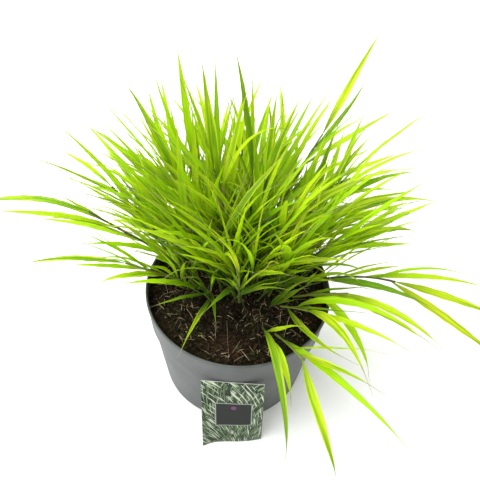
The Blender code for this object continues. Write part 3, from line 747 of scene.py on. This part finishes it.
def stem_green():
    """Stems and their sheaths: green that turns purplish brown in patches and at the joints."""
    paint = Paint("stem_green")
    x, along = paint.mapped("blade")
    first = paint.chance(paint.math("FLOOR", x), 0.31)
    patches = paint.noise(paint.joined(x * 3, along * 9, first * 20), 1.0, 3.0)
    colour = paint.mix(paint.rise(patches, 0.38, 0.62), (0.10, 0.15, 0.020), (0.040, 0.028, 0.024))
    colour = paint.mix(paint.rise(first + 0.4 * patches, 0.80, 1.15) * 0.7, colour, (0.24, 0.30, 0.04))
    lines = paint.math("SINE", x * 75)
    return paint.surface(colour, 0.45, paint.bump(lines, 0.00006, 0.5), sheen=0.4)


def printed_card(look):
    """The label's front: a plain print of crossing grass blades, a bare dark panel and a dot."""
    paint = Paint("printed_card")
    u, v = paint.mapped("card")
    flat = paint.joined(u * CARD_SHAPE, v, 0.0)
    ground = paint.rise(paint.noise(flat, 6.0, 3.0), 0.38, 0.66)
    colour = paint.mix(ground, (0.004, 0.008, 0.005), (0.026, 0.040, 0.018))
    fans = (
        (0.02, -0.30, 72.0, 0.10, 0.56, (0.026, 0.052, 0.020)),
        (0.62, -0.34, 66.0, -0.12, 0.57, (0.065, 0.115, 0.048)),
        (0.30, -0.08, 46.0, -0.18, 0.57, (0.190, 0.260, 0.145)),
        (0.42, -0.50, 60.0, 0.16, 0.58, (0.440, 0.500, 0.370)),
    )
    for foot_across, foot_up, blades, bend, least, tint in fans:
        x, y = u * CARD_SHAPE - foot_across, v - foot_up
        reach = (x * x + y * y) ** 0.5
        turn = paint.math("ARCTAN2", x, y) + bend * reach * reach
        strokes = paint.noise(paint.joined(turn * blades, reach * 5, blades), 1.0, 1.0)
        colour = paint.mix(paint.rise(strokes, least, least + 0.04), colour, tint)
    warm = paint.rise(paint.noise(flat, 3.1, 2.0), 0.50, 0.60) * paint.fall(v + 0.6 * u, 0.18, 0.30)
    colour = paint.mix(warm * 0.8, colour, (0.38, 0.26, 0.14))
    side, up = (paint.math("ABSOLUTE", share - middle) for share, middle in zip((u, v), PANEL_MIDDLE))
    border = paint.fall(side, 0.300, 0.306) * paint.fall(up, 0.186, 0.190)
    panel = paint.fall(side, 0.284, 0.290) * paint.fall(up, 0.176, 0.180)
    colour = paint.mix(border, colour, (0.26, 0.28, 0.25))
    colour = paint.mix(panel, colour, look.panel)
    dot = ((u - PANEL_MIDDLE[0]) ** 2.0 * 0.383 + (v - 0.590) ** 2.0) ** 0.5
    colour = paint.mix(paint.fall(dot, 0.026, 0.030), colour, (0.13, 0.035, 0.11))
    return paint.surface(colour, 0.42, sheen=0.17)


def card_stock():
    """The label's plain back and edges."""
    paint = Paint("card_stock")
    shade = paint.noise(paint.place(), 60.0, 2.0)
    colour = paint.mix(shade, (0.62, 0.63, 0.58), (0.74, 0.74, 0.70))
    return paint.surface(colour, 0.45, sheen=0.4)


def pale_floor():
    """The plain pale floor."""
    paint = Paint("pale_floor")
    shade = paint.noise(paint.place(), 0.8, 1.0)
    colour = paint.mix(shade, (0.93, 0.93, 0.93), (0.95, 0.95, 0.95))
    return paint.surface(colour, 0.9, sheen=0.1)


# Modelling

def deselect():
    """Leave edit mode and select nothing."""
    if bpy.context.object is not None and bpy.context.object.mode != "OBJECT":
        bpy.ops.object.mode_set(mode="OBJECT")
    bpy.ops.object.select_all(action="DESELECT")


def select_only(obj):
    """Select this object alone and make it the active one."""
    deselect()
    obj.select_set(True)
    bpy.context.view_layer.objects.active = obj


def settle(obj, name, materials, slot, *nodes):
    """Finish a piece: name, materials, the nodes that it stands for, and its ride on the root; the slot is
    not used.
    """
    obj.name = name
    obj.data.name = name
    select_only(obj)
    bpy.ops.object.transform_apply(location=True, rotation=True, scale=True)
    kept = [polygon.material_index for polygon in obj.data.polygons]
    obj.data.materials.clear()
    for material in materials:
        obj.data.materials.append(material)
    obj.data.polygons.foreach_set("material_index", kept)
    if nodes:
        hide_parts(*nodes)
    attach(obj, "root")
    deselect()


def cut_away(obj, cutter):
    """Cut a solid out of the object, and remove that solid."""
    select_only(obj)
    cut = obj.modifiers.new("cut", "BOOLEAN")
    cut.operation = "DIFFERENCE"
    cut.object = cutter
    bpy.ops.object.modifier_apply(modifier="cut")
    bpy.data.objects.remove(cutter, do_unlink=True)


def turned(profile, sides):
    """A closed solid turned about Z: a ring extruded along a (radius, height) profile and capped."""
    deselect()
    radius, height = profile[0]
    bpy.ops.mesh.primitive_circle_add(vertices=sides, radius=radius)
    bpy.ops.object.mode_set(mode="EDIT")
    bpy.ops.transform.translate(value=(0, 0, height))
    for next_radius, next_height in profile[1:]:
        bpy.ops.mesh.extrude_region_move(TRANSFORM_OT_translate={"value": (0, 0, next_height - height)})
        share = next_radius / radius
        bpy.ops.transform.resize(value=(share, share, 1), center_override=(0, 0, next_height))
        radius, height = next_radius, next_height
    bpy.ops.mesh.edge_face_add()
    bpy.ops.mesh.select_all(action="DESELECT")
    bpy.ops.mesh.select_non_manifold()
    bpy.ops.mesh.edge_face_add()
    bpy.ops.mesh.select_all(action="SELECT")
    bpy.ops.mesh.normals_make_consistent(inside=False)
    bpy.ops.object.mode_set(mode="OBJECT")
    return bpy.context.object


def taken(obj):
    """The corners and faces of an object that was modelled to be copied, which is then removed."""
    corners = np.array([vertex.co for vertex in obj.data.vertices])
    faces = [list(polygon.vertices) for polygon in obj.data.polygons]
    bpy.data.objects.remove(obj, do_unlink=True)
    return corners, faces


def flat_blade(cells_across, cells_along):
    """A flat blade, modelled once: X -1 to 1 across, Y 0 to 1 along, Z -1 or 1 for its two sides."""
    deselect()
    bpy.ops.mesh.primitive_grid_add(x_subdivisions=cells_across, y_subdivisions=cells_along, size=2)
    obj = bpy.context.object
    bpy.ops.object.mode_set(mode="EDIT")
    bpy.ops.transform.translate(value=(0, 1, 0))
    bpy.ops.transform.resize(value=(1, 0.5, 1), center_override=(0, 0, 0))
    bpy.ops.object.mode_set(mode="OBJECT")
    solidify = obj.modifiers.new("thickness", "SOLIDIFY")
    solidify.thickness = 2
    solidify.offset = 0
    bpy.ops.object.modifier_apply(modifier="thickness")
    return taken(obj)


def round_rod(sides, cells_along):
    """A rod, modelled once: a circle extruded along Y from 0 to 1, one unit in radius."""
    deselect()
    bpy.ops.mesh.primitive_circle_add(
        vertices=sides, radius=1, fill_type="NGON", rotation=(math.pi / 2, 0, 0)
    )
    obj = bpy.context.object
    bpy.ops.object.transform_apply(location=True, rotation=True, scale=True)
    bpy.ops.object.mode_set(mode="EDIT")
    for _ in range(cells_along):
        bpy.ops.mesh.extrude_region_move(TRANSFORM_OT_translate={"value": (0, 1 / cells_along, 0)})
    bpy.ops.mesh.select_all(action="SELECT")
    bpy.ops.mesh.normals_make_consistent(inside=False)
    bpy.ops.object.mode_set(mode="OBJECT")
    return taken(obj)


class Growing:
    """The corners, faces, map and materials of one piece while parts are laid into it."""

    def __init__(self):
        self.corners, self.maps, self.faces, self.finishes = [], [], [], []
        self.count = 0
        self.number = 0

    def add(self, corners, faces, mapped, finish):
        """Lay a part into the piece, with its map and the number of its material."""
        self.corners.append(corners)
        self.maps.append(mapped)
        self.faces += [[index + self.count for index in face] for face in faces]
        self.finishes += [finish] * len(faces)
        self.count += len(corners)
        self.number += 1

    def piece(self, angle=50):
        """The object, smooth but for edges sharper than the angle."""
        mesh = bpy.data.meshes.new("growing")
        mesh.from_pydata(np.concatenate(self.corners).tolist(), [], self.faces)
        mesh.polygons.foreach_set("material_index", self.finishes)
        mesh.polygons.foreach_set("use_smooth", [True] * len(self.faces))
        corner_of = np.empty(len(mesh.loops), int)
        mesh.loops.foreach_get("vertex_index", corner_of)
        layer = mesh.uv_layers.new(name="blade")
        layer.data.foreach_set("uv", np.concatenate(self.maps)[corner_of].ravel())
        mesh.set_sharp_from_angle(angle=math.radians(angle))
        obj = bpy.data.objects.new("growing", mesh)
        bpy.context.scene.collection.objects.link(obj)
        return obj


def laid_along(shape, points, wide, square, across, height):
    """Corners of a unit shape laid along a route, by the offsets across and square to it."""
    at = shape[:, 1] * (len(points) - 1)
    low = np.minimum(at.astype(int), len(points) - 2)
    share = (at - low)[:, None]
    middle = points[low] * (1 - share) + points[low + 1] * share
    side = wide[low] * (1 - share) + wide[low + 1] * share
    up = square[low] * (1 - share) + square[low + 1] * share
    return middle - side * across[:, None] + up * height[:, None]


def lay_blade(growing, shape, leaf, route, look, draw, ripple, slender=1.0):
    """Lay a fine blade along its route: folded at the midrib, thin at the edges, a little rippled."""
    points, sides = route
    points = np.concatenate((points, points[-1:] + HAIR_TIP * (points[-1:] - points[-2:-1])))
    sides = np.concatenate((sides, sides[-1:]))
    wide, square = turned_sides(points, sides, leaf.twist)
    corners, faces = shape
    across, along, side = corners.T
    widths = [blade_shape(min(step / ROUTE_STEPS, 1.0)) for step in range(len(points))]
    stations = along * (len(points) - 1)
    half = 0.5 * slender * leaf.width * np.interp(stations, range(len(points)), widths)
    half *= np.interp(along, *TAPER)
    half = np.maximum(half, np.interp(along, *LEAST_HALF))
    thin = np.interp(along, *THINNING)
    height = look.fold * half * (np.abs(across) ** 1.3 - 1)
    height += 0.5 * look.thickness * side * (1 - 0.65 * np.abs(across)) * thin
    bend = np.sin(math.pi * along) * along
    phase, waves = draw.uniform(0, 6.28), draw.uniform(1.2, 3.0)
    height += ripple * bend * np.sin(2 * math.pi * waves * along + phase)
    edge_phase, edge_waves = draw.uniform(0, 6.28), draw.uniform(5, 9)
    height += 0.10 * half * across * np.sin(2 * math.pi * edge_waves * along + edge_phase)
    offset = across * half + ripple * bend * math.cos(phase) * np.sin(5 * along)
    mapped = np.stack((growing.number + 0.5 + 0.48 * across, along), axis=1)
    growing.add(laid_along(corners, points, wide, square, offset, height), faces, mapped, 0)


def lay_rod(growing, shape, points, sides, radii, finish):
    """Lay a rod along a route, with these radii at its corners."""
    wide, square = turned_sides(points, sides, (0, 0))
    corners, faces = shape
    mapped = np.stack((growing.number + 0.5 + 0.45 * corners[:, 0], corners[:, 1]), axis=1)
    growing.add(
        laid_along(corners, points, wide, square, corners[:, 0] * radii, corners[:, 2] * radii),
        faces, mapped, finish,
    )


def sheathed_radii(shares, along):
    """Radii of a stem wrapped in leaf sheaths, each swelling up to where its leaf sets off."""
    joints = np.array([0.0] + sorted(shares) + [1.001])
    above = np.searchsorted(joints, along, side="right").clip(1, len(joints) - 1)
    course = (along - joints[above - 1]) / np.maximum(joints[above] - joints[above - 1], 0.02)
    return np.interp(along, (0, 1), STEM_RADII) * 0.80 + 0.00040 * course.clip(0, 1) ** 1.5


def nearest(points, place):
    """Distance from a place to the nearest of these points."""
    return np.linalg.norm(points - place, axis=1).min()


def own_stem(shoot, points):
    """The route of the attempt at the stem that the CAD node has."""
    def misfit(route):
        return sum(nearest(points, corner) for corner in np.concatenate(stem_rings(route)[:2]))

    return min((stem_route(shoot, attempt) for attempt in range(TRIES)), key=misfit)


def own_leaves(shoot, stem, points):
    """The leaves that the CAD node has, with their routes, told by their tips."""
    leaves = []
    for number, leaf in enumerate(shoot.leaves):
        for attempt in range(TRIES):
            route = leaf_route(shoot, stem, number, attempt)
            if nearest(points, route[0][-1]) < SAME_PLACE:
                leaves.append((leaf, route))
                break
    return leaves


def has_room(points):
    """True if a blade stays in the CAD's box, above the soil and clear of the pot's wall and the floor."""
    if (points < CAD_BOX[0]).any() or (points > CAD_BOX[1]).any():
        return False
    outer = points[FREE_FROM:]
    reach, height = np.hypot(outer[:, 0], outer[:, 1]), outer[:, 2]
    over_soil = height[reach < INSIDE_WALL]
    over_rim = height[(reach >= INSIDE_WALL) & (reach < OUTSIDE_WALL)]
    return bool((over_soil > OVER_SOIL).all() and (over_rim > OVER_RIM).all() and height.min() > OVER_FLOOR)


def grown_from(stem, share, leaf):
    """Route of an added leaf from this share of its stem."""
    root = [np.interp(share * ROUTE_STEPS, range(ROUTE_STEPS + 1), stem[0][:, axis]) for axis in range(3)]
    return grown_route(root, leaf.heading, leaf.sweep, leaf.lean, leaf.end_lean, leaf.arching, leaf.length)


def added_leaf(draw, shoot, lowest, lengths, widths):
    """A smaller leaf for a stem, opening to any side of it but less to the viewer."""
    share = draw.uniform(lowest, HIGHEST_SHARE)
    along = heading_vector(shoot.heading, shoot.lean + (shoot.end_lean - shoot.lean) * share)
    level = across(shoot.heading)
    roll = draw.uniform(0, 2 * math.pi)
    apart = math.radians(draw.uniform(6, 32))
    course = along * math.cos(apart)
    course = course + (level * math.cos(roll) + np.cross(along, level) * math.sin(roll)) * math.sin(apart)
    if course[1] < 0:
        course[1] *= draw.choice((0.1, 0.3, 0.6))
        course /= np.linalg.norm(course)
    lean = math.degrees(math.acos(course[2]))
    leaf = Leaf(
        share, math.degrees(math.atan2(course[1], course[0])), lean, lean + draw.uniform(4, 44),
        draw.uniform(*lengths), draw.uniform(*widths), draw.uniform(-18, 18), draw.uniform(0.9, 2.0),
        (draw.uniform(-60, 60), draw.uniform(-70, 70)),
    )
    if draw.random() < CURLED_SHARE:
        leaf.end_lean += CURLED_LEAN
        leaf.arching = CURLED_ARCHING
    return leaf


class FORESTGRASS_OT_pot(bpy.types.Operator):
    """The pot: turned wall with its collar and lip, a recessed floor and its drain holes"""

    bl_idname = "forest_grass.pot"
    bl_label = "Nursery pot"

    def execute(self, context):
        look = context.scene.forest_grass_pot
        rim, lip, foot = POT_HEIGHT, POT_HEIGHT - LIP_DEPTH, COLLAR_FOOT_HEIGHT
        base = BASE_RADIUS - WALL + WALL_SLOPE * FLOOR_TOP
        # From the middle of the floor out and up the wall to the rim
        inside = [
            (0.030, FLOOR_TOP), (BASE_RADIUS - WALL - 0.004, FLOOR_TOP), (base - 0.001, FLOOR_TOP + 0.0006),
            (base, FLOOR_TOP + 0.003), (SHOULDER_RADIUS - WALL - 0.0002, foot - 0.001),
            (COLLAR_FOOT_RADIUS - WALL - 0.0008, foot + 0.0016), (COLLAR_FOOT_RADIUS - WALL, foot + 0.004),
            (COLLAR_TOP_RADIUS - WALL, lip), (RIM_RADIUS - WALL - 0.0012, rim - 0.0016),
            (RIM_RADIUS - WALL - 0.0008, rim - 0.0005), (RIM_RADIUS - WALL, rim),
        ]
        # Over the lip, down past the collar to the foot, and in under the floor
        outside = [
            (RIM_RADIUS - 0.0009, rim), (RIM_RADIUS - 0.0003, rim - 0.0003), (RIM_RADIUS, rim - 0.0010),
            (RIM_RADIUS, lip + 0.0006), (RIM_RADIUS - 0.0004, lip),
            (COLLAR_TOP_RADIUS + 0.0002, lip - 0.0002), (COLLAR_TOP_RADIUS - 0.0001, lip - 0.0010),
            (COLLAR_FOOT_RADIUS + 0.0001, foot + 0.0010),
            (COLLAR_FOOT_RADIUS - 0.0004, foot), (SHOULDER_RADIUS + 0.0004, foot - 0.0012),
            (SHOULDER_RADIUS, foot - 0.0024), (BASE_RADIUS + 0.0006, 0.0040), (BASE_RADIUS, 0.0014),
            (BASE_RADIUS - 0.0004, 0.0004), (BASE_RADIUS - 0.0014, 0.0), (FOOT_RING_RADIUS, 0.0),
            (FOOT_RING_RADIUS - 0.0006, 0.0006), (FOOT_RING_RADIUS - RECESS / 2, RECESS),
            (BOSS_RADIUS + RECESS / 2, RECESS), (BOSS_RADIUS, 0.0), (0.010, 0.0),
        ]
        pot = turned(inside + outside, look.sides)
        for number in range(DRAIN_COUNT):
            turn = 2 * math.pi * (number + 0.5) / DRAIN_COUNT
            deselect()
            bpy.ops.mesh.primitive_cylinder_add(
                vertices=24, radius=DRAIN_RADIUS, depth=0.01,
                location=(DRAIN_CIRCLE * math.cos(turn), DRAIN_CIRCLE * math.sin(turn), FLOOR_TOP),
            )
            cut_away(pot, bpy.context.object)
        select_only(pot)
        bpy.ops.object.shade_smooth_by_angle(angle=math.radians(38))
        settle(pot, "nursery_pot", [pot_plastic(look)], "pot", "pot")
        return {"FINISHED"}


def lumps(x, y):
    """The large and the small lumps of the soil, from about -1 to 1."""
    return noise.noise(Vector((x, y, 0)) * 62) + 0.5 * noise.noise(Vector((x, y, 1)) * 170)


def soil_top(x, y, look):
    """Height of the lumpy soil."""
    return soil_height(x, y) + look.roughness * lumps(x, y)


class FORESTGRASS_OT_soil(bpy.types.Operator):
    """The soil: a plug that fills the pot, with a lumpy top"""

    bl_idname = "forest_grass.soil"
    bl_label = "Soil"

    def execute(self, context):
        look = context.scene.forest_grass_soil
        edge = POT_HEIGHT - SOIL_BELOW_RIM
        wall = [
            (BASE_RADIUS - WALL + WALL_SLOPE * FLOOR_TOP, FLOOR_TOP),
            (SHOULDER_RADIUS - WALL, COLLAR_FOOT_HEIGHT),
            (COLLAR_FOOT_RADIUS - WALL, COLLAR_FOOT_HEIGHT + 0.003),
            (COLLAR_TOP_RADIUS - WALL, POT_HEIGHT - LIP_DEPTH),
        ]
        radii, heights = zip(*wall)
        outer = float(np.interp(edge, heights, radii)) - GAP
        profile = [(0.02, FLOOR_TOP + GAP), (radii[0] - GAP - 0.0006, FLOOR_TOP + GAP)]
        profile += [(radius - GAP, height) for radius, height in wall[1:3]]
        profile += [(outer * (1 - ring / (look.rings + 1)), edge) for ring in range(look.rings + 1)]
        soil = turned(profile, 144)
        for vertex in soil.data.vertices:
            x, y, z = vertex.co
            if z > edge - 0.0001:
                settled = 1 - (math.hypot(x, y) / outer) ** 8
                vertex.co.z = soil_height(x, y) + settled * look.roughness * lumps(x, y)
        select_only(soil)
        bpy.ops.object.shade_smooth_by_angle(angle=math.radians(60))
        settle(soil, "potting_soil", [peat(look)], "soil", "soil")
        return {"FINISHED"}


class FORESTGRASS_OT_litter(bpy.types.Operator):
    """What lies on the soil: crumbs of peat and bark, dry straws and cushions of moss"""

    bl_idname = "forest_grass.litter"
    bl_label = "Litter"

    def execute(self, context):
        look = context.scene.forest_grass_soil
        draw = random.Random("litter")
        crumb = loose("crumb_brown", (0.0020, 0.0017, 0.0010), (0.050, 0.041, 0.023))
        moss = loose("moss_green", (0.010, 0.014, 0.003), (0.045, 0.060, 0.009))
        bark = loose("bark_red", (0.020, 0.008, 0.004), (0.085, 0.034, 0.017))
        count = look.crumbs
        self.scatter(look, draw, "soil_crumbs", count, (0.0005, 0.0022), (1.3, 0.9, 0.7), crumb)
        self.scatter(look, draw, "moss_cushions", count // 6, (0.0008, 0.0022), (1.0, 1.0, 0.45), moss)
        self.scatter(look, draw, "bark_chips", count // 16, (0.0012, 0.0030), (1.9, 0.8, 0.35), bark)
        self.straws(look, draw)
        return {"FINISHED"}

    def scatter(self, look, draw, name, count, sizes, form, material):
        """Strew copies of one rough crumb over the soil."""
        deselect()
        bpy.ops.mesh.primitive_ico_sphere_add(subdivisions=1, radius=1)
        corners, faces = taken(bpy.context.object)
        corners *= 1 + 0.35 * np.array([noise.noise(Vector(corner) * 1.7) for corner in corners])[:, None]
        growing = Growing()
        for _ in range(count):
            reach = CRUMB_REACH * math.sqrt(draw.random())
            turn = draw.uniform(0, 2 * math.pi)
            x, y = reach * math.cos(turn), reach * math.sin(turn)
            size = draw.uniform(*sizes) * draw.uniform(0.5, 1.0)
            lying = Matrix.Rotation(draw.uniform(0, 6.28), 3, "Z")
            lying = lying @ Matrix.Rotation(draw.uniform(-0.4, 0.4), 3, "X")
            shaped = corners * size * draw.uniform(0.7, 1.3) * form @ np.array(lying).T
            shaped += (x, y, soil_top(x, y, look) + 0.15 * size)
            growing.add(shaped, faces, np.zeros((len(corners), 2)), 0)
        settle(growing.piece(30), name, [material], "soil")

    def straws(self, look, draw):
        """Lay dry straws and root fibres on the soil, some of them standing out of it."""
        rod = round_rod(4, 7)
        growing = Growing()
        strewn = []
        for _ in range(look.straws):
            reach, turn = STRAW_REACH * math.sqrt(draw.random()), draw.uniform(0, 2 * math.pi)
            start = (reach * math.cos(turn), reach * math.sin(turn))
            length = draw.uniform(0.002, 0.010) * draw.choice((1, 1, 1.8))
            strewn.append((start, draw.uniform(0, 2 * math.pi), length, draw.uniform(-0.35, 0.35)))
        for x, y, end_x, end_y in LONG_STRAWS:
            heading, length = math.atan2(end_y - y, end_x - x), math.dist((x, y), (end_x, end_y))
            strewn.append(((x, y), heading, length, 0.06))
        for number, (start, heading, length, curve) in enumerate(strewn):
            rising = draw.uniform(0.0, 0.0030)
            places = [np.array(start)]
            for _ in range(STRAW_STEPS):
                heading += curve / STRAW_STEPS
                course = np.array((math.cos(heading), math.sin(heading)))
                places.append(places[-1] + course * length / STRAW_STEPS)
            first, last = (soil_top(*place, look) + 0.0009 for place in (places[0], places[-1]))
            points = []
            for step, place in enumerate(places):
                arch = rising * math.sin(math.pi * step / STRAW_STEPS)
                points.append((*place, first + (last - first) * step / STRAW_STEPS + arch))
            points = np.array(points)
            if np.hypot(points[:, 0], points[:, 1]).max() > SOIL_REACH:
                continue
            sides = np.tile((-math.sin(heading), math.cos(heading), 0.0), (len(points), 1))
            radii = draw.uniform(0.00016, 0.00052) * np.interp(rod[0][:, 1], (0, 1), (1.0, 0.55))
            lay_rod(growing, rod, points, sides, radii, number % 2)
        straw = loose("straw_pale", (0.16, 0.12, 0.065), (0.46, 0.37, 0.23))
        fibre = loose("fibre_brown", (0.020, 0.012, 0.006), (0.090, 0.060, 0.032))
        settle(growing.piece(), "dry_straws", [straw, fibre], "soil")


class FORESTGRASS_OT_stems(bpy.types.Operator):
    """The leafy stems: each with its sheaths, its own blades and smaller blades between them"""

    bl_idname = "forest_grass.stems"
    bl_label = "Leafy stems"

    def execute(self, context):
        look = context.scene.forest_grass_grass
        blade, small_blade, rod = flat_blade(4, ROUTE_STEPS), flat_blade(2, 16), round_rod(8, 50)
        materials = [blade_green(look), stem_green()]
        for shoot in outer_shoots() + filling_shoots():
            if shoot.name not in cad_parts:
                continue
            points = np.array([vertex.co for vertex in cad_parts[shoot.name].data.vertices])
            stem = own_stem(shoot, points)
            leaves = own_leaves(shoot, stem, points)
            growing = Growing()
            growing.number = 1000 * (sum(map(ord, shoot.name)) % 97) % 4001
            draw = random.Random(f"dress {shoot.name}")
            radii = sheathed_radii([leaf.share for leaf in shoot.leaves], rod[0][:, 1])
            lay_rod(growing, rod, *stem, radii, 1)
            slender = look.slender * (BROADER if shoot.name in BROAD_BLADED else 1.0)
            for leaf, route in leaves:
                lay_blade(growing, blade, leaf, route, look, draw, 0.0006, slender)
            count = look.inner_blades
            if not shoot.name[6:].isdigit():
                count = look.outer_blades if shoot.root[1] > FRONT_ROOTS else look.outer_blades // 3
            self.fill(growing, small_blade, shoot, stem, look, draw, count)
            settle(growing.piece(), f"grass_{shoot.name[6:]}", materials, "grass", shoot.name)
        return {"FINISHED"}

    def fill(self, growing, shape, shoot, stem, look, draw, count):
        """Add smaller blades to the stem where they have room."""
        added = 0
        for _ in range(3 * count):
            leaf = added_leaf(draw, shoot, 0.28, (0.055, 0.125), (0.0024, 0.0058))
            route = grown_from(stem, leaf.share, leaf)
            if added < count and has_room(route[0]):
                lay_blade(growing, shape, leaf, route, look, draw, 0.0012)
                added += 1


class FORESTGRASS_OT_young(bpy.types.Operator):
    """The short young shoots that rise between the stems"""

    bl_idname = "forest_grass.young"
    bl_label = "Young shoots"

    def execute(self, context):
        look = context.scene.forest_grass_grass
        blade, rod = flat_blade(2, 14), round_rod(6, 12)
        growing = Growing()
        draw = random.Random("young shoots")
        for number in range(look.young_shoots):
            turn = number * GOLDEN_ANGLE
            reach = math.sqrt((number + 0.5) / look.young_shoots)
            x = CROWN[0] + 1.04 * CROWN_RADII[0] * reach * math.cos(math.radians(turn))
            y = CROWN[1] - 0.006 + 1.04 * CROWN_RADII[1] * reach * math.sin(math.radians(turn))
            lean = 3 + 20 * reach
            shoot = Shoot(
                f"young_{number}", (x, y), turn + draw.uniform(-40, 40), lean, lean + draw.uniform(2, 26),
                draw.uniform(0.010, 0.050) if number % 3 else draw.uniform(0.060, 0.100), [],
            )
            stem = stem_route(shoot, 0)
            radii = np.interp(rod[0][:, 1], (0, 1), (0.0012, 0.0007))
            lay_rod(growing, rod, *stem, radii, 1)
            small = 0.65 if y < CROWN[1] - 0.03 else 1.0
            for _ in range(draw.choice((3, 4, 5))):
                leaf = added_leaf(draw, shoot, 0.60, (0.045 * small, 0.110 * small), (0.0022, 0.0052))
                route = grown_from(stem, leaf.share, leaf)
                if has_room(route[0]):
                    lay_blade(growing, blade, leaf, route, look, draw, 0.0012)
        materials = [bpy.data.materials["blade_green"], bpy.data.materials["stem_green"]]
        settle(growing.piece(), "grass_young_shoots", materials, "grass")
        return {"FINISHED"}


def label_point(across_share, height):
    """A point of the label's back face, as in the part's source."""
    rise = height / LABEL_TOP
    turn = math.radians(LABEL_FOOT_TURN * (1 - rise))
    x = np.interp(rise, (0, 1), (LABEL_FOOT_MIDDLE[0], LABEL_TOP_MIDDLE[0]))
    y = np.interp(rise, (0, 1), (LABEL_FOOT_MIDDLE[1], LABEL_TOP_MIDDLE[1]))
    wave = LABEL_WAVE * math.sin(2 * math.pi * across_share) * (1 - rise)
    offset = across_share * LABEL_WIDTH
    return Vector((x + offset * math.cos(turn), y + offset * math.sin(turn) - wave, height))


class FORESTGRASS_OT_label(bpy.types.Operator):
    """The plant label: a thin waved card with a slot near its foot"""

    bl_idname = "forest_grass.label"
    bl_label = "Plant label"

    def execute(self, context):
        look = context.scene.forest_grass_label
        deselect()
        bpy.ops.mesh.primitive_grid_add(x_subdivisions=look.columns, y_subdivisions=look.rows, size=1)
        card = bpy.context.object
        layer = card.data.uv_layers[0]
        layer.name = "card"
        for loop in card.data.loops:
            place = card.data.vertices[loop.vertex_index].co
            layer.data[loop.index].uv = (place.x + 0.5, place.y + 0.5)
        for vertex in card.data.vertices:
            share, rise = vertex.co.x, vertex.co.y + 0.5
            point = label_point(share, rise * LABEL_TOP)
            point.y -= CURL * max(0.0, (-share - 0.25) / 0.25) ** 2 * max(0.0, 1 - rise / 0.3) ** 2
            vertex.co = point
        card.data.update()
        solidify = card.modifiers.new("card", "SOLIDIFY")
        solidify.thickness = LABEL_THICKNESS
        solidify.offset = 1
        bpy.ops.object.modifier_apply(modifier="card")
        deselect()
        bpy.ops.mesh.primitive_cylinder_add(
            vertices=40, radius=0.5, depth=0.02, rotation=(math.pi / 2, 0, 0),
            location=label_point(0.0, LABEL_SLOT_HEIGHT),
        )
        slot = bpy.context.object
        slot.scale = (*LABEL_SLOT, 1)
        cut_away(card, slot)
        for polygon in card.data.polygons:
            polygon.material_index = 0 if polygon.normal.y < -0.6 else 1
        bpy.ops.object.shade_smooth_by_angle(angle=math.radians(40))
        settle(card, "plant_card", [printed_card(look), card_stock()], "label", "plant_label")
        return {"FINISHED"}


class FORESTGRASS_OT_stage(bpy.types.Operator):
    """The plain pale floor, the soft lamps and the camera at the photo's angle"""

    bl_idname = "forest_grass.stage"
    bl_label = "Stage"

    def execute(self, context):
        look = context.scene.forest_grass_stage
        deselect()
        bpy.ops.mesh.primitive_plane_add(size=look.floor_size)
        floor = bpy.context.object
        floor.name = "pale_floor"
        floor.data.materials.append(pale_floor())
        world = bpy.data.worlds.new("even_light")
        world.use_nodes = True
        light = world.node_tree.nodes["Background"].inputs
        light["Color"].default_value = (1, 1, 1, 1)
        light["Strength"].default_value = look.sky
        context.scene.world = world
        self.lamp("key", *KEY_LAMP, look.key)
        self.lamp("front", *FRONT_LAMP, FRONT_SHARE * look.key)
        camera = bpy.data.objects.new("camera", bpy.data.cameras.new("camera"))
        context.scene.collection.objects.link(camera)
        tilt = Matrix.Rotation(math.radians(90 - CAMERA_ELEVATION), 4, "X")
        roll = Matrix.Rotation(math.radians(CAMERA_ROLL), 4, "Z")
        camera.matrix_world = Matrix.Translation(CAMERA_PLACE) @ tilt @ roll
        camera.data.sensor_width = 36
        camera.data.lens = CAMERA_LENS
        context.scene.camera = camera
        context.scene.view_settings.view_transform = "Standard"
        return {"FINISHED"}

    def lamp(self, name, place, size, power):
        """A square soft lamp that looks at the plant."""
        bpy.ops.object.light_add(type="AREA", location=place)
        lamp = bpy.context.object
        lamp.name = name
        lamp.data.size = size
        lamp.data.energy = power
        lamp.rotation_euler = (Vector(LIT_PLACE) - Vector(place)).to_track_quat("-Z", "Y").to_euler()


class FORESTGRASS_PT_panel(bpy.types.Panel):
    """Sizes, colours and pieces of the potted grass"""

    bl_idname = "FORESTGRASS_PT_panel"
    bl_label = "Potted forest grass"
    bl_space_type = "VIEW_3D"
    bl_region_type = "UI"
    bl_category = "Forest grass"

    def draw(self, context):
        for name, look in LOOKS.items():
            box = self.layout.box()
            for prop in look.__annotations__:
                box.prop(getattr(context.scene, name), prop)
        for piece in PIECES:
            self.layout.operator(piece.bl_idname)


LOOKS = {
    "forest_grass_pot": PotLook,
    "forest_grass_soil": SoilLook,
    "forest_grass_grass": GrassLook,
    "forest_grass_label": LabelLook,
    "forest_grass_stage": StageLook,
}
PIECES = (
    FORESTGRASS_OT_pot,
    FORESTGRASS_OT_soil,
    FORESTGRASS_OT_litter,
    FORESTGRASS_OT_stems,
    FORESTGRASS_OT_young,
    FORESTGRASS_OT_label,
    FORESTGRASS_OT_stage,
)
CLASSES = (*LOOKS.values(), *PIECES, FORESTGRASS_PT_panel)


def register():
    for each in CLASSES:
        bpy.utils.register_class(each)
    for name, look in LOOKS.items():
        setattr(bpy.types.Scene, name, PointerProperty(type=look))


def unregister():
    for name in LOOKS:
        delattr(bpy.types.Scene, name)
    for each in reversed(CLASSES):
        bpy.utils.unregister_class(each)


def main():
    register()
    bpy.ops.forest_grass.pot()
    bpy.ops.forest_grass.soil()
    bpy.ops.forest_grass.litter()
    bpy.ops.forest_grass.stems()
    bpy.ops.forest_grass.young()
    bpy.ops.forest_grass.label()
    bpy.ops.forest_grass.stage()


if __name__ == "__main__":
    main()
